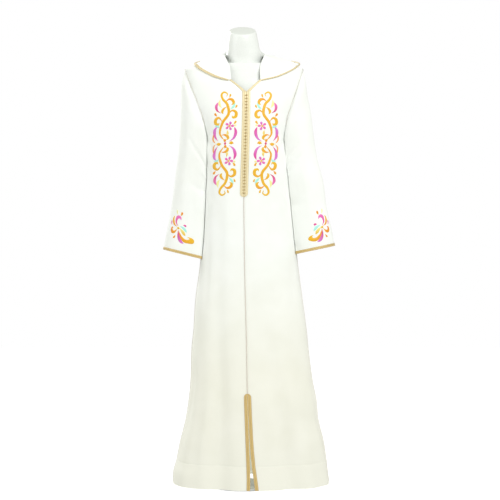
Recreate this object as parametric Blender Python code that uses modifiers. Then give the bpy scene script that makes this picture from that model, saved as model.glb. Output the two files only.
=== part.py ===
"""A hooded djellaba of ivory crepe with gold braid, on a limbless dress form.

Metres, +Z up, with the origin on the floor under the middle of the stand. The front faces -Y.
Right and left are the wearer's, so the right sleeve lies towards -X and has side -1.
"""
import math
from bisect import bisect_right
from collections import namedtuple

import bmesh
import bpy
from mathutils import Vector

OBJECT_NAME = "djellaba_robe"
RIGHT = -1
LEFT = 1

# Cloth, braid and cord
WALL = 0.0018                    # crepe with its turned and pressed edges
SEAM = 0.0003                    # space between two pieces sewn together
BRAID_WIDTH = 0.0135
BRAID_HEIGHT = 0.0014
BRAID_ARCH = (12, 38, 64, 90)    # degrees round the arched end of a braid
EDGE_BRAID_WIDTH = 0.0100        # round the hood and the cuffs
EDGE_SHARE = 0.6                 # of the hood's narrow front ends, at most
CORD_RADIUS = 0.0011
KNOT_RADIUS = 0.0027
KNOT_COUNT = 32

# Heights above the floor
HEM = 0.014
SLIT_CLOSES = 0.185
SLIT_TOP = 0.349
CLOSURE_END = 1.011
UNDERARM = 1.225
NECK_BOTTOM = 1.374
NECK_BEND = 1.3955
NECK_BRAID_END = 1.4065          # just under the front end of the hood's edge
NECK_CORNER = 1.417
SHOULDER_TIP = 1.463
SHOULDER_KNEE = 1.487
NECK_POINT = 1.510
BACK_NECK_DIP = 0.013            # centre back below the neck points
SLIT_HALF_GAPE = 0.0063          # half of the slit's width at the hem

# The robe's level sections. Right, left, front and back are reaches from the stand's axis, and
# centre is how far the front seam lies to the left of it.
Ring = namedtuple("Ring", "height right left front back squareness centre")
ROBE = (
    Ring(0.014, 0.249, 0.298, 0.192, 0.190, 2.10, 0.0162),
    Ring(0.056, 0.246, 0.292, 0.186, 0.184, 2.10, 0.0155),
    Ring(0.091, 0.236, 0.288, 0.181, 0.179, 2.10, 0.0148),
    Ring(0.161, 0.222, 0.278, 0.173, 0.170, 2.12, 0.0134),
    Ring(0.232, 0.204, 0.260, 0.165, 0.161, 2.14, 0.0118),
    Ring(0.302, 0.193, 0.253, 0.158, 0.153, 2.15, 0.0100),
    Ring(0.372, 0.186, 0.239, 0.151, 0.146, 2.16, 0.0088),
    Ring(0.478, 0.183, 0.225, 0.143, 0.138, 2.18, 0.0080),
    Ring(0.548, 0.176, 0.218, 0.138, 0.133, 2.20, 0.0072),
    Ring(0.654, 0.169, 0.204, 0.131, 0.126, 2.20, 0.0052),
    Ring(0.759, 0.155, 0.190, 0.125, 0.120, 2.20, 0.0030),
    Ring(0.850, 0.1445, 0.1795, 0.121, 0.115, 2.20, 0.0014),
    Ring(0.935, 0.1400, 0.1715, 0.118, 0.110, 2.20, 0.0004),
    Ring(1.011, 0.1375, 0.1645, 0.117, 0.104, 2.20, 0.0000),
    Ring(1.086, 0.1365, 0.1580, 0.119, 0.101, 2.20, 0.0020),
    Ring(1.160, 0.1375, 0.1515, 0.123, 0.101, 2.20, 0.0042),
    Ring(1.225, 0.1400, 0.1500, 0.124, 0.103, 2.22, 0.0060),
    Ring(1.250, 0.1470, 0.1570, 0.1235, 0.105, 2.25, 0.0066),
    Ring(1.287, 0.1620, 0.1690, 0.121, 0.108, 2.30, 0.0074),
    Ring(1.330, 0.1820, 0.1870, 0.117, 0.110, 2.30, 0.0080),
    Ring(1.380, 0.1960, 0.1985, 0.110, 0.108, 2.30, 0.0080),
    Ring(1.420, 0.2015, 0.2035, 0.100, 0.099, 2.30, 0.0056),
    Ring(1.450, 0.2050, 0.2060, 0.085, 0.087, 2.30, 0.0040),
    Ring(1.463, 0.2055, 0.2060, 0.077, 0.081, 2.30, 0.0034),
    Ring(1.468, 0.1970, 0.1980, 0.074, 0.078, 2.28, 0.0030),
    Ring(1.474, 0.1800, 0.1810, 0.071, 0.075, 2.26, 0.0026),
    Ring(1.487, 0.1400, 0.1410, 0.066, 0.070, 2.24, 0.0020),
    Ring(1.499, 0.1040, 0.1050, 0.062, 0.066, 2.22, 0.0014),
    Ring(1.510, 0.0720, 0.0730, 0.058, 0.062, 2.20, 0.0010),
    Ring(1.520, 0.0560, 0.0570, 0.054, 0.058, 2.20, 0.0006),
)

# Soft folds that grow from their start down to the hem. Angles are degrees from centre front
# towards the left, and a negative depth is a trough.
Fold = namedtuple("Fold", "top_angle hem_angle start depth width")
FOLDS = (
    Fold(-37.0, -12.0, 1.060, -0.0150, 7.0),
    Fold(-44.0, -27.0, 0.620, -0.0080, 8.0),
    Fold(-62.0, -54.0, 0.560, 0.0060, 10.0),
    Fold(27.0, 43.0, 0.700, -0.0140, 9.0),
    Fold(20.0, 21.0, 0.460, 0.0060, 8.0),
    Fold(50.0, 64.0, 0.420, 0.0050, 8.0),
    Fold(118.0, 126.0, 0.760, -0.0150, 9.0),
    Fold(150.0, 148.0, 0.900, 0.0120, 10.0),
    Fold(172.0, 169.0, 0.800, -0.0170, 9.0),
    Fold(196.0, 193.0, 0.980, 0.0120, 9.0),
    Fold(214.0, 217.0, 0.720, -0.0160, 9.0),
    Fold(243.0, 241.0, 0.560, 0.0090, 9.0),
)

# Half the width of the neck opening in the front panels
NeckRow = namedtuple("NeckRow", "height half_width")
NECK = (
    NeckRow(NECK_BOTTOM, 0.0000),
    NeckRow(NECK_BEND, 0.0240),
    NeckRow(NECK_CORNER, 0.0500),
    NeckRow(1.445, 0.0505),
    NeckRow(1.468, 0.0580),
    NeckRow(SHOULDER_KNEE, 0.0630),
    NeckRow(NECK_POINT, 0.0680),
)

# Rows of the panels, as stretches of even steps from each height to the next
ROW_STRETCHES = (
    (HEM, SLIT_TOP, 6),
    (SLIT_TOP, CLOSURE_END, 10),
    (CLOSURE_END, UNDERARM, 4),
    (UNDERARM, 1.231, 1),
    (1.231, 1.245, 1),
    (1.245, NECK_BOTTOM, 5),
    (NECK_BOTTOM, NECK_CORNER, 2),
    (NECK_CORNER, SHOULDER_TIP, 2),
    (SHOULDER_TIP, 1.468, 1),
    (1.468, SHOULDER_KNEE, 2),
    (SHOULDER_KNEE, NECK_POINT, 2),
)
FRONT_COLUMNS = 11
BACK_COLUMNS = 19

# The armhole cuts into each panel by this much, in degrees round the section
ARMHOLE_CUT = 31.0
ARMHOLE_LEAN = 0.75              # below 1 puts the deepest cut under the middle
ARMHOLE_ROUND = 0.60
CORD_TURN = 0.030                # the armhole cord lies this far inside the seam, as an angle
ARMHOLE_CORD_LOW = 1.24          # its two ends are just above this
CORD_NEAR_TIP = 0.010            # it rises over the shoulder tip from this far below
SIDE_CORD_TOP = 1.205

# Sections of a sleeve from the armhole, at place 0, to the cuff. Outer and inner are distances
# of its two edges from the stand's axis, and middle is how far its own axis lies behind it.
Cuff = namedtuple("Cuff", "place outer outer_height inner inner_height half_depth middle")
SLEEVE = {
    RIGHT: (
        Cuff(0, 0.2055, 1.463, 0.1400, 1.225, 0.079, 0.002),
        Cuff(1, 0.2180, 1.425, 0.1410, 1.205, 0.078, 0.004),
        Cuff(2, 0.2215, 1.370, 0.1410, 1.178, 0.077, 0.008),
        Cuff(3, 0.2235, 1.305, 0.1390, 1.140, 0.075, 0.012),
        Cuff(4, 0.2265, 1.230, 0.1380, 1.095, 0.073, 0.016),
        Cuff(5, 0.2345, 1.150, 0.1380, 1.040, 0.070, 0.020),
        Cuff(6, 0.2460, 1.065, 0.1390, 0.980, 0.068, 0.023),
        Cuff(7, 0.2560, 0.985, 0.1400, 0.918, 0.066, 0.025),
        Cuff(8, 0.2710, 0.905, 0.1420, 0.852, 0.067, 0.026),
        Cuff(9, 0.2850, 0.831, 0.1450, 0.791, 0.068, 0.026),
    ),
    LEFT: (
        Cuff(0, 0.2060, 1.463, 0.1500, 1.225, 0.079, 0.002),
        Cuff(1, 0.2165, 1.425, 0.1520, 1.205, 0.076, 0.004),
        Cuff(2, 0.2240, 1.370, 0.1530, 1.180, 0.073, 0.008),
        Cuff(3, 0.2370, 1.305, 0.1530, 1.143, 0.070, 0.012),
        Cuff(4, 0.2460, 1.230, 0.1540, 1.100, 0.067, 0.016),
        Cuff(5, 0.2590, 1.150, 0.1570, 1.046, 0.065, 0.020),
        Cuff(6, 0.2810, 1.065, 0.1620, 0.987, 0.064, 0.023),
        Cuff(7, 0.2910, 0.985, 0.1680, 0.925, 0.064, 0.025),
        Cuff(8, 0.3080, 0.910, 0.1760, 0.866, 0.066, 0.026),
        Cuff(9, 0.3205, 0.844, 0.1830, 0.810, 0.068, 0.026),
    ),
}
SLEEVE_PLACE_LENGTH = 0.075      # of the last stretch, from one place to the next
SLEEVE_ROWS = 15
SLEEVE_CLEARANCE = 0.0035

# The hood lies back, spread over both shoulders. Each station runs from the neck seam, over
# the roll behind the neck, down to the fold at the bottom of the bag and up to the free edge.
Station = namedtuple("Station", "along neck roll fold edge room")
HOOD = (
    Station(0.00, (0.000, 0.063, 1.501), (0.000, 0.080, 1.546), (0.000, 0.140, 1.165),
            (0.000, 0.160, 1.470), 0.045),
    Station(0.17, (0.045, 0.052, 1.504), (0.054, 0.073, 1.543), (0.062, 0.136, 1.225),
            (0.082, 0.144, 1.484), 0.042),
    Station(0.36, (0.067, 0.018, 1.511), (0.082, 0.042, 1.535), (0.130, 0.118, 1.350),
            (0.144, 0.088, 1.502), 0.026),
    Station(0.53, (0.068, 0.003, 1.512), (0.092, 0.016, 1.523), (0.150, 0.078, 1.445),
            (0.172, 0.046, 1.497), 0.010),
    Station(0.70, (0.067, -0.012, 1.510), (0.107, -0.008, 1.508), (0.150, -0.002, 1.496),
            (0.187, -0.002, 1.482), 0.0),
    Station(0.84, (0.0605, -0.045, 1.487), (0.095, -0.048, 1.478), (0.130, -0.052, 1.468),
            (0.165, -0.055, 1.458), 0.0),
    Station(0.93, (0.0515, -0.072, 1.4555), (0.071, -0.077, 1.446), (0.090, -0.082, 1.437),
            (0.110, -0.087, 1.4275), 0.0),
    Station(1.00, (0.0505, -0.094, 1.4165), (0.053, -0.095, 1.415), (0.055, -0.096, 1.4135),
            (0.058, -0.0965, 1.412), 0.0),
)
HOOD_STATIONS = 32
HOOD_STEPS = (3, 3, 2, 3, 3, 2, 2)    # columns in each stretch between the hood's lines
FINE_STEPS = 98                  # along a hood section, to measure it
HOOD_REACH = {RIGHT: 0.94, LEFT: 1.05}
HOOD_CLEARANCE = 0.0046
HOOD_RISE = 0.030                # the hood lifts to that clearance this far from its neck seam

# The dress form under the robe
Bust = namedtuple("Bust", "height half_width front back")
TORSO = (
    Bust(0.800, 0.122, 0.090, 0.100),
    Bust(0.860, 0.126, 0.092, 0.102),
    Bust(0.930, 0.122, 0.092, 0.094),
    Bust(1.000, 0.108, 0.088, 0.082),
    Bust(1.060, 0.102, 0.088, 0.078),
    Bust(1.120, 0.110, 0.098, 0.082),
    Bust(1.190, 0.122, 0.112, 0.086),
    Bust(1.250, 0.128, 0.110, 0.090),
    Bust(1.320, 0.146, 0.102, 0.096),
    Bust(1.380, 0.166, 0.094, 0.096),
    Bust(1.420, 0.178, 0.086, 0.090),
    Bust(1.450, 0.180, 0.074, 0.080),
)
TORSO_SIDES = 28
SHOULDER_REST = (1.468, 1.474, 1.483)    # the form follows the cloth from inside here
FORM_CLEARANCE = 0.0009          # where the cloth rests on the form's shoulders
NECK_SIDES = 28
NECK_CENTRE = -0.002
Throat = namedtuple("Throat", "height half_width half_depth middle tilt")
THROAT = (
    Throat(1.4925, 0.0560, 0.0570, 0.0000, 0.12),
    Throat(1.5080, 0.0545, 0.0560, -0.0020, 0.15),
    Throat(1.5400, 0.0530, 0.0550, -0.0070, 0.20),
    Throat(1.5720, 0.0500, 0.0530, -0.0120, 0.32),
    Throat(1.5960, 0.0462, 0.0490, -0.0160, 0.46),
    Throat(1.5990, 0.0440, 0.0465, -0.0165, 0.48),
)
POLE_RADIUS = 0.0125
BASE_RADIUS = 0.120
BASE_HEIGHT = 0.008
BASE_CHAMFER = 0.002

IVORY = ("ivory crepe", (0.93, 0.93, 0.87), 0.85, 0.0)
GOLD_BRAID = ("gold braid", (0.80, 0.70, 0.42), 0.45, 0.3)
BEIGE_CORD = ("beige cord", (0.68, 0.65, 0.60), 0.7, 0.0)
FORM_WHITE = ("white form", (0.88, 0.89, 0.86), 0.4, 0.0)
STEEL = ("brushed steel", (0.62, 0.62, 0.62), 0.35, 1.0)


def clear_scene():
    for thing in list(bpy.data.objects):
        bpy.data.objects.remove(thing, do_unlink=True)


def material(finish):
    name, colour, roughness, metallic = finish
    made = bpy.data.materials.get(name)
    if made is None:
        made = bpy.data.materials.new(name)
        made.use_nodes = True
        shader = made.node_tree.nodes["Principled BSDF"]
        shader.inputs["Base Color"].default_value = (*colour, 1.0)
        shader.inputs["Roughness"].default_value = roughness
        shader.inputs["Metallic"].default_value = metallic
    return made


def keep(thing, collection, finish):
    """Moves a new object to the part's collection and gives it its material."""
    for held in list(thing.users_collection):
        held.objects.unlink(thing)
    collection.objects.link(thing)
    thing.data.materials.clear()
    thing.data.materials.append(material(finish))
    return thing


# ---------------------------------------------------------------- reading the tables

def smooth(table, column, place):
    """A column of a table at any place down it, on a smooth curve through its rows."""
    places = [row[0] for row in table]
    values = [getattr(row, column) for row in table]
    last = len(table) - 1
    step = min(max(bisect_right(places, place) - 1, 0), last - 1)
    span = places[step + 1] - places[step]
    part = (place - places[step]) / span
    slopes = []
    for row in (step, step + 1):
        before = max(row - 1, 0)
        after = min(row + 1, last)
        slopes.append(span * (values[after] - values[before]) / (places[after] - places[before]))
    square = part * part
    cube = square * part
    return (values[step] * (2 * cube - 3 * square + 1) + slopes[0] * (cube - 2 * square + part)
            + values[step + 1] * (3 * square - 2 * cube) + slopes[1] * (cube - square))


def straight(table, column, place):
    """A column of a table at any place down it, on straight lines between its rows."""
    places = [row[0] for row in table]
    step = min(max(bisect_right(places, place) - 1, 0), len(table) - 2)
    part = min(max((place - places[step]) / (places[step + 1] - places[step]), 0.0), 1.0)
    first = getattr(table[step], column)
    return first + part * (getattr(table[step + 1], column) - first)


def smooth_curve(points, part):
    """A point on a smooth curve through a few points, from part 0 to part 1."""
    last = len(points) - 1
    step = min(int(part * last), last - 1)
    local = part * last - step
    before = points[max(step - 1, 0)]
    after = points[min(step + 2, last)]
    start, end = points[step], points[step + 1]
    slope_in = (end - before) / 2
    slope_out = (after - start) / 2
    square = local * local
    cube = square * local
    return (start * (2 * cube - 3 * square + 1) + slope_in * (cube - 2 * square + local)
            + end * (3 * square - 2 * cube) + slope_out * (cube - square))


# ---------------------------------------------------------------- the robe's surface

def reach(side, height):
    """Half the robe's width on one side of the centre front."""
    centre = smooth(ROBE, "centre", height)
    if side == LEFT:
        return smooth(ROBE, "left", height) - centre
    return smooth(ROBE, "right", height) + centre


def fold_depth(angle, height):
    total = 0.0
    for fold in FOLDS:
        if height < fold.start:
            run = (fold.start - height) / (fold.start - HEM)
            middle = math.radians(fold.top_angle + (fold.hem_angle - fold.top_angle) * run)
            away = math.remainder(angle - middle, math.tau) / math.radians(fold.width)
            total += fold.depth * run ** 1.3 * math.exp(-away * away)
    return total


def robe_point(angle, height):
    """The robe's outer surface. Angle 0 is the centre front and a right angle the left side."""
    across, along = math.sin(angle), math.cos(angle)
    side = LEFT if across >= 0 else RIGHT
    power = 2.0 / smooth(ROBE, "squareness", height)
    depth = smooth(ROBE, "front" if along > 0 else "back", height)
    x = smooth(ROBE, "centre", height) + side * reach(side, height) * abs(across) ** power
    y = -math.copysign(depth * abs(along) ** power, along)
    out = fold_depth(angle, height)
    return Vector((x + out * across, y - out * along, height))


def robe_normal(angle, height):
    turn, rise = 0.012, 0.0015
    round_it = robe_point(angle + turn, height) - robe_point(angle - turn, height)
    up_it = robe_point(angle, height + rise) - robe_point(angle, height - rise)
    return round_it.cross(up_it).normalized()


def outside(point):
    """About how far a point lies outside the robe's surface, folds apart, and which way is out."""
    def level(spot):
        height = min(max(spot.z, HEM), ROBE[-1].height)
        power = smooth(ROBE, "squareness", height)
        offset = spot.x - smooth(ROBE, "centre", height)
        width = reach(LEFT if offset >= 0 else RIGHT, height)
        depth = smooth(ROBE, "front" if spot.y < 0 else "back", height)
        return ((abs(offset) / width) ** power + (abs(spot.y) / depth) ** power) ** (1 / power)

    step = 0.0005
    here = level(point)
    slope = Vector([
        (level(point + step * axis) - level(point - step * axis)) / (2 * step)
        for axis in (Vector((1, 0, 0)), Vector((0, 1, 0)), Vector((0, 0, 1)))
    ])
    steepness = max(slope.length, 1.0)
    return (here - 1.0) / steepness, slope / steepness


def clear_of_robe(point, clearance):
    """Moves a point that lies closer to the robe than the clearance straight out of it."""
    for _ in range(8):
        distance, out = outside(point)
        if distance >= clearance:
            break
        point = point + out * (clearance - distance)
    return point


# ---------------------------------------------------------------- walls, strips and cords

def add_mesh(name, points, faces, collection, finish):
    mesh = bpy.data.meshes.new(name)
    mesh.from_pydata([tuple(point) for point in points], [], faces)
    work = bmesh.new()
    work.from_mesh(mesh)
    bmesh.ops.recalc_face_normals(work, faces=work.faces)
    bmesh.ops.triangulate(work, faces=work.faces)
    work.to_mesh(mesh)
    work.free()
    mesh.shade_smooth()
    mesh.set_sharp_from_angle(angle=math.radians(40))
    thing = bpy.data.objects.new(name, mesh)
    bpy.context.scene.collection.objects.link(thing)
    return keep(thing, collection, finish)


def grid_normals(grid, closed):
    """The outward normal at each point of a grid, from its neighbours."""
    normals = []
    rows = len(grid)
    columns = len(grid[0])
    for row in range(rows):
        line = []
        for column in range(columns):
            if closed:
                ahead = grid[row][(column + 1) % columns]
                behind = grid[row][column - 1]
            else:
                ahead = grid[row][min(column + 1, columns - 1)]
                behind = grid[row][max(column - 1, 0)]
            above = grid[min(row + 1, rows - 1)][column]
            below = grid[max(row - 1, 0)][column]
            line.append((ahead - behind).cross(above - below).normalized())
        normals.append(line)
    return normals


def softened(normals):
    """Normals averaged with their neighbours down each section, so that a wall stays whole."""
    soft = []
    for line in normals:
        padded = [line[0]] + line + [line[-1]]
        soft.append([(before + 2 * here + after).normalized()
                     for before, here, after in zip(padded, padded[1:], padded[2:])])
    return soft


def cloth(name, outer, normals, closed, collection, finish=IVORY):
    """A wall of cloth: a grid of points, the same grid moved in by the wall, and its rims."""
    rows = len(outer)
    columns = len(outer[0])
    points = [point for line in outer for point in line]
    points += [point - normal * WALL
               for line, pointing in zip(outer, normals) for point, normal in zip(line, pointing)]
    inner = rows * columns

    def at(row, column, side=0):
        return side + row * columns + column % columns

    faces = []
    last_column = columns if closed else columns - 1
    for row in range(rows - 1):
        for column in range(last_column):
            quad = (at(row, column), at(row, column + 1), at(row + 1, column + 1), at(row + 1, column))
            faces.append(quad)
            faces.append(tuple(inner + corner for corner in reversed(quad)))
        if not closed:
            for column in (0, columns - 1):
                faces.append((at(row, column), at(row + 1, column),
                              at(row + 1, column, inner), at(row, column, inner)))
    for column in range(last_column):
        for row in (0, rows - 1):
            faces.append((at(row, column), at(row, column + 1),
                          at(row, column + 1, inner), at(row, column, inner)))
    return add_mesh(name, points, faces, collection, finish)


def swept(name, sections, closed, collection, finish):
    """A solid through like sections, each a loop of points, with its two ends filled."""
    sides = len(sections[0])
    points = [point for section in sections for point in section]
    count = len(sections)
    faces = []
    for row in range(count if closed else count - 1):
        here, there = row * sides, (row + 1) % count * sides
        for side in range(sides):
            turn = (side + 1) % sides
            faces.append((here + side, here + turn, there + turn, there + side))
    if not closed:
        faces.append(tuple(range(sides)))
        faces.append(tuple((count - 1) * sides + side for side in range(sides)))
    return add_mesh(name, points, faces, collection, finish)


def ribbon(name, rows, closed, collection, finish=GOLD_BRAID):
    """Flat braid laid on cloth. Each row has its two edges on the cloth and their normals."""
    sections = []
    for first, second, first_normal, second_normal in rows:
        sections.append((
            first + first_normal * SEAM,
            second + second_normal * SEAM,
            second + second_normal * (SEAM + BRAID_HEIGHT),
            first + first_normal * (SEAM + BRAID_HEIGHT),
        ))
    return swept(name, sections, closed, collection, finish)


def cord(name, route, radius, collection, finish, thickness=None):
    """A round cord through points. Thickness scales its radius at each of them."""
    curve = bpy.data.curves.new(name, "CURVE")
    curve.dimensions = "3D"
    curve.bevel_depth = radius
    curve.bevel_resolution = 1
    curve.use_fill_caps = True
    spline = curve.splines.new("POLY")
    spline.points.add(len(route) - 1)
    for number, point in enumerate(route):
        spline.points[number].co = (*point, 1.0)
        spline.points[number].radius = thickness[number] if thickness else 1.0
    thing = bpy.data.objects.new(name, curve)
    bpy.context.scene.collection.objects.link(thing)
    return keep(thing, collection, finish)


# ---------------------------------------------------------------- the panels

def panel_heights():
    heights = [ROW_STRETCHES[0][0]]
    for start, end, count in ROW_STRETCHES:
        heights += [start + (end - start) * (step + 1) / count for step in range(count)]
    return heights


def armhole_cut(height):
    """How far the armhole cuts into the front and back at a height, as an angle."""
    if height <= UNDERARM or height >= SHOULDER_TIP:
        return 0.0
    part = (height - UNDERARM) / (SHOULDER_TIP - UNDERARM)
    return math.radians(ARMHOLE_CUT) * math.sin(math.pi * part ** ARMHOLE_LEAN) ** ARMHOLE_ROUND


def seam_turn(height):
    """Half of a seam's space at the robe's side, as an angle."""
    depth = smooth(ROBE, "front", height)
    return math.asin((SEAM / 2 / depth) ** (smooth(ROBE, "squareness", height) / 2))


def angle_across(side, offset, height):
    """The angle at which the front lies an offset away from its centre."""
    part = min(offset / reach(side, height), 1.0)
    return side * math.asin(part ** (smooth(ROBE, "squareness", height) / 2))


def inner_edge(height):
    """Distance of a front panel's inner edge from the centre: slit, seam or neck opening."""
    opening = straight(NECK, "half_width", height)
    if height < SLIT_CLOSES:
        opening = SLIT_HALF_GAPE * (SLIT_CLOSES - height) / (SLIT_CLOSES - HEM)
    return opening + SEAM / 2


def front_angles(side, height):
    """Angles of a front panel's columns. The first column is as wide as the braid."""
    inner = inner_edge(height)
    first = angle_across(side, inner, height)
    last = side * (math.pi / 2 - armhole_cut(height) - seam_turn(height))
    second = angle_across(side, inner + BRAID_WIDTH, height)
    if height > NECK_CORNER:
        second = first + (last - first) / FRONT_COLUMNS
    step = (last - second) / (FRONT_COLUMNS - 1)
    return [first] + [second + step * column for column in range(FRONT_COLUMNS)]


def front_grid(side):
    return [[(angle, height) for angle in front_angles(side, height)] for height in panel_heights()]


def back_grid():
    places = []
    for height in panel_heights():
        turn = math.pi / 2 + armhole_cut(height) + seam_turn(height)
        line = []
        for column in range(BACK_COLUMNS + 1):
            angle = turn + (math.tau - 2 * turn) * column / BACK_COLUMNS
            dip = 0.0
            if height > SHOULDER_KNEE:
                rise = (height - SHOULDER_KNEE) / (NECK_POINT - SHOULDER_KNEE)
                dip = BACK_NECK_DIP * rise * math.cos(angle) ** 2
            line.append((angle, height - dip))
        places.append(line)
    return places


def place_cloth(name, places, collection):
    outer = [[robe_point(*place) for place in line] for line in places]
    normals = [[robe_normal(*place) for place in line] for line in places]
    cloth(name, outer, normals, False, collection)


def braid_row(side, height, share=1.0):
    """The braid's two edges at a height, on the flat faces of a front panel's first column."""
    heights = panel_heights()
    step = min(bisect_right(heights, height) - 1, len(heights) - 2)
    part = (height - heights[step]) / (heights[step + 1] - heights[step])
    edges = []
    for column in (0, 1):
        low, high = [
            (robe_point(angle, level), robe_normal(angle, level))
            for level in heights[step:step + 2]
            for angle in [front_angles(side, level)[column]]
        ]
        edges.append([low[item].lerp(high[item], part) for item in (0, 1)])
    (first, first_normal), (second, second_normal) = edges
    return (first, first.lerp(second, share), first_normal,
            first_normal.lerp(second_normal, share).normalized())


def arched_rows(side, start, end, arch_at_start):
    """Braid rows between two heights, narrowed to a quarter round at one of them."""
    heights = [height for height in panel_heights() if start < height < end]
    rows = []
    arch = [math.radians(degrees) for degrees in BRAID_ARCH]
    if arch_at_start:
        rows += [braid_row(side, start + BRAID_WIDTH * (1 - math.cos(turn)), math.sin(turn))
                 for turn in arch]
        clear_from, clear_to = start + BRAID_WIDTH * 1.2, end
        rows += [braid_row(side, height) for height in heights if clear_from < height < clear_to]
        rows.append(braid_row(side, end))
    else:
        rows.append(braid_row(side, start))
        rows += [braid_row(side, height) for height in heights if height < end - BRAID_WIDTH * 1.2]
        rows += [braid_row(side, end - BRAID_WIDTH * (1 - math.cos(turn)), math.sin(turn))
                 for turn in reversed(arch)]
    return rows


def make_panels(collection):
    place_cloth("front_right", front_grid(RIGHT), collection)
    place_cloth("front_left", front_grid(LEFT), collection)
    place_cloth("back", back_grid(), collection)


def make_front_braids(collection):
    for side, word in ((RIGHT, "right"), (LEFT, "left")):
        slit = arched_rows(side, HEM + SEAM, SLIT_TOP, arch_at_start=False)
        ribbon("slit_braid_" + word, slit, False, collection)
        closure = arched_rows(side, CLOSURE_END, NECK_BOTTOM - SEAM, arch_at_start=True)
        ribbon("closure_braid_" + word, closure, False, collection)
        neck = [braid_row(side, height) for height in (NECK_BOTTOM + SEAM, NECK_BEND, NECK_BRAID_END)]
        ribbon("neck_braid_" + word, neck, False, collection)


def centre_point(height, lift):
    """A point over the centre front seam."""
    right = braid_row(RIGHT, height)
    left = braid_row(LEFT, height)
    normal = (right[2] + left[2]).normalized()
    return (right[0] + left[0]) / 2 + normal * lift


def make_centre_trims(collection):
    lift = SEAM + CORD_RADIUS
    heights = [height for height in panel_heights() if SLIT_TOP < height < CLOSURE_END]
    heights = [SLIT_TOP + 2 * SEAM] + heights + [CLOSURE_END - 2 * SEAM]
    route = [centre_point(height, lift) for height in heights]
    cord("centre_cord", route, CORD_RADIUS, collection, BEIGE_CORD)
    bottom, top = CLOSURE_END + 3 * KNOT_RADIUS, NECK_BOTTOM - 3 * KNOT_RADIUS
    lift = 2 * SEAM + BRAID_HEIGHT + KNOT_RADIUS
    steps = 2 * KNOT_COUNT
    route = [centre_point(bottom + (top - bottom) * step / steps, lift) for step in range(steps + 1)]
    beads = [1.0 if step % 2 else 0.55 for step in range(steps + 1)]
    cord("button_row", route, KNOT_RADIUS, collection, GOLD_BRAID, beads)


def make_seam_cords(collection):
    lift = SEAM + CORD_RADIUS
    heights = panel_heights()
    for side, word in ((RIGHT, "right"), (LEFT, "left")):
        low = [height for height in heights if HEM < height < SIDE_CORD_TOP]
        route = [robe_point(side * math.pi / 2, height) + Vector((side * lift, 0, 0))
                 for height in [HEM + 2 * CORD_RADIUS] + low]
        cord("side_cord_" + word, route, CORD_RADIUS, collection, BEIGE_CORD)
        ring = [height for height in heights if ARMHOLE_CORD_LOW < height < SHOULDER_TIP - CORD_NEAR_TIP]
        ring += [SHOULDER_TIP - share * CORD_NEAR_TIP for share in (1.0, 0.5, 0.2)]
        route = []
        for face in (1, -1):
            levels = ring if face == 1 else reversed(ring)
            for height in levels:
                place = (side * (math.pi / 2 - face * (armhole_cut(height) + CORD_TURN)), height)
                rise = 5 * SEAM if height >= SHOULDER_TIP - 2 * CORD_NEAR_TIP else 0.0
                route.append(robe_point(*place) + robe_normal(*place) * (lift + rise))
            if face == 1:
                route.append(robe_point(side * math.pi / 2, SHOULDER_TIP + 2 * SEAM)
                             + Vector((0, 0, lift + 17 * SEAM)))
        cord("armhole_cord_" + word, route, CORD_RADIUS, collection, BEIGE_CORD)


# ---------------------------------------------------------------- the sleeves

def armhole_places(side):
    """The armhole's edge from the shoulder tip down the front and up the back."""
    heights = [height for height in panel_heights() if UNDERARM <= height <= SHOULDER_TIP]
    places = []
    for face in (1, -1):
        levels = heights[::-1] if face == 1 else heights
        for height in levels[:-1]:
            angle = math.pi / 2 - face * max(armhole_cut(height) - seam_turn(height), 0.0)
            places.append((side * angle, height))
    return places


def sleeve_section(side, place, turns):
    """The sleeve's section at a place down it. Turn 0 is its outer edge and pi its inner one."""
    def read(column):
        return smooth(SLEEVE[side], column, place)
    outer = Vector((side * read("outer"), read("middle"), read("outer_height")))
    inner = Vector((side * read("inner"), read("middle"), read("inner_height")))
    centre, half = (outer + inner) / 2, (outer - inner) / 2
    depth = read("half_depth")
    return [centre + half * math.cos(turn) - Vector((0, depth * math.sin(turn), 0)) for turn in turns]


def sleeve_grid(side):
    loop = [robe_point(*place) for place in armhole_places(side)]
    count = len(loop)
    lengths = [(loop[(step + 1) % count] - loop[step]).length for step in range(count)]
    half = count // 2
    turns = []
    for step in range(count):
        stretch = lengths[:half] if step < half else lengths[half:]
        done = lengths[:step] if step < half else lengths[half:step]
        turns.append(math.pi * ((step >= half) + sum(done) / sum(stretch)))
    start = sleeve_section(side, 0.0, turns)
    last_place = SLEEVE[side][-1].place
    hem_share = EDGE_BRAID_WIDTH / SLEEVE_PLACE_LENGTH
    places = [(last_place - hem_share) * step / (SLEEVE_ROWS - 1) for step in range(SLEEVE_ROWS)]
    grid = []
    for place in places + [last_place]:
        fade = max(1.0 - place / 2.0, 0.0) ** 2
        line = []
        for number, point in enumerate(sleeve_section(side, place, turns)):
            point = point + (loop[number] - start[number]) * fade
            if place == 0:
                point = point + Vector((side, 0, 0)) * SEAM
            else:
                point = clear_of_robe(point, SLEEVE_CLEARANCE * min(place, 1.0) + 2 * SEAM)
            line.append(point)
        grid.append(line)
    return grid


def mitred(normal, panel_normal, way):
    """A sleeve's normal at the armhole, turned so that its wall doesn't lean into the panel."""
    along_panel = (way - panel_normal * way.dot(panel_normal)).normalized()
    lean = max(normal.dot(along_panel), 0.0)
    return (normal - along_panel * lean).normalized()


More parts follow.
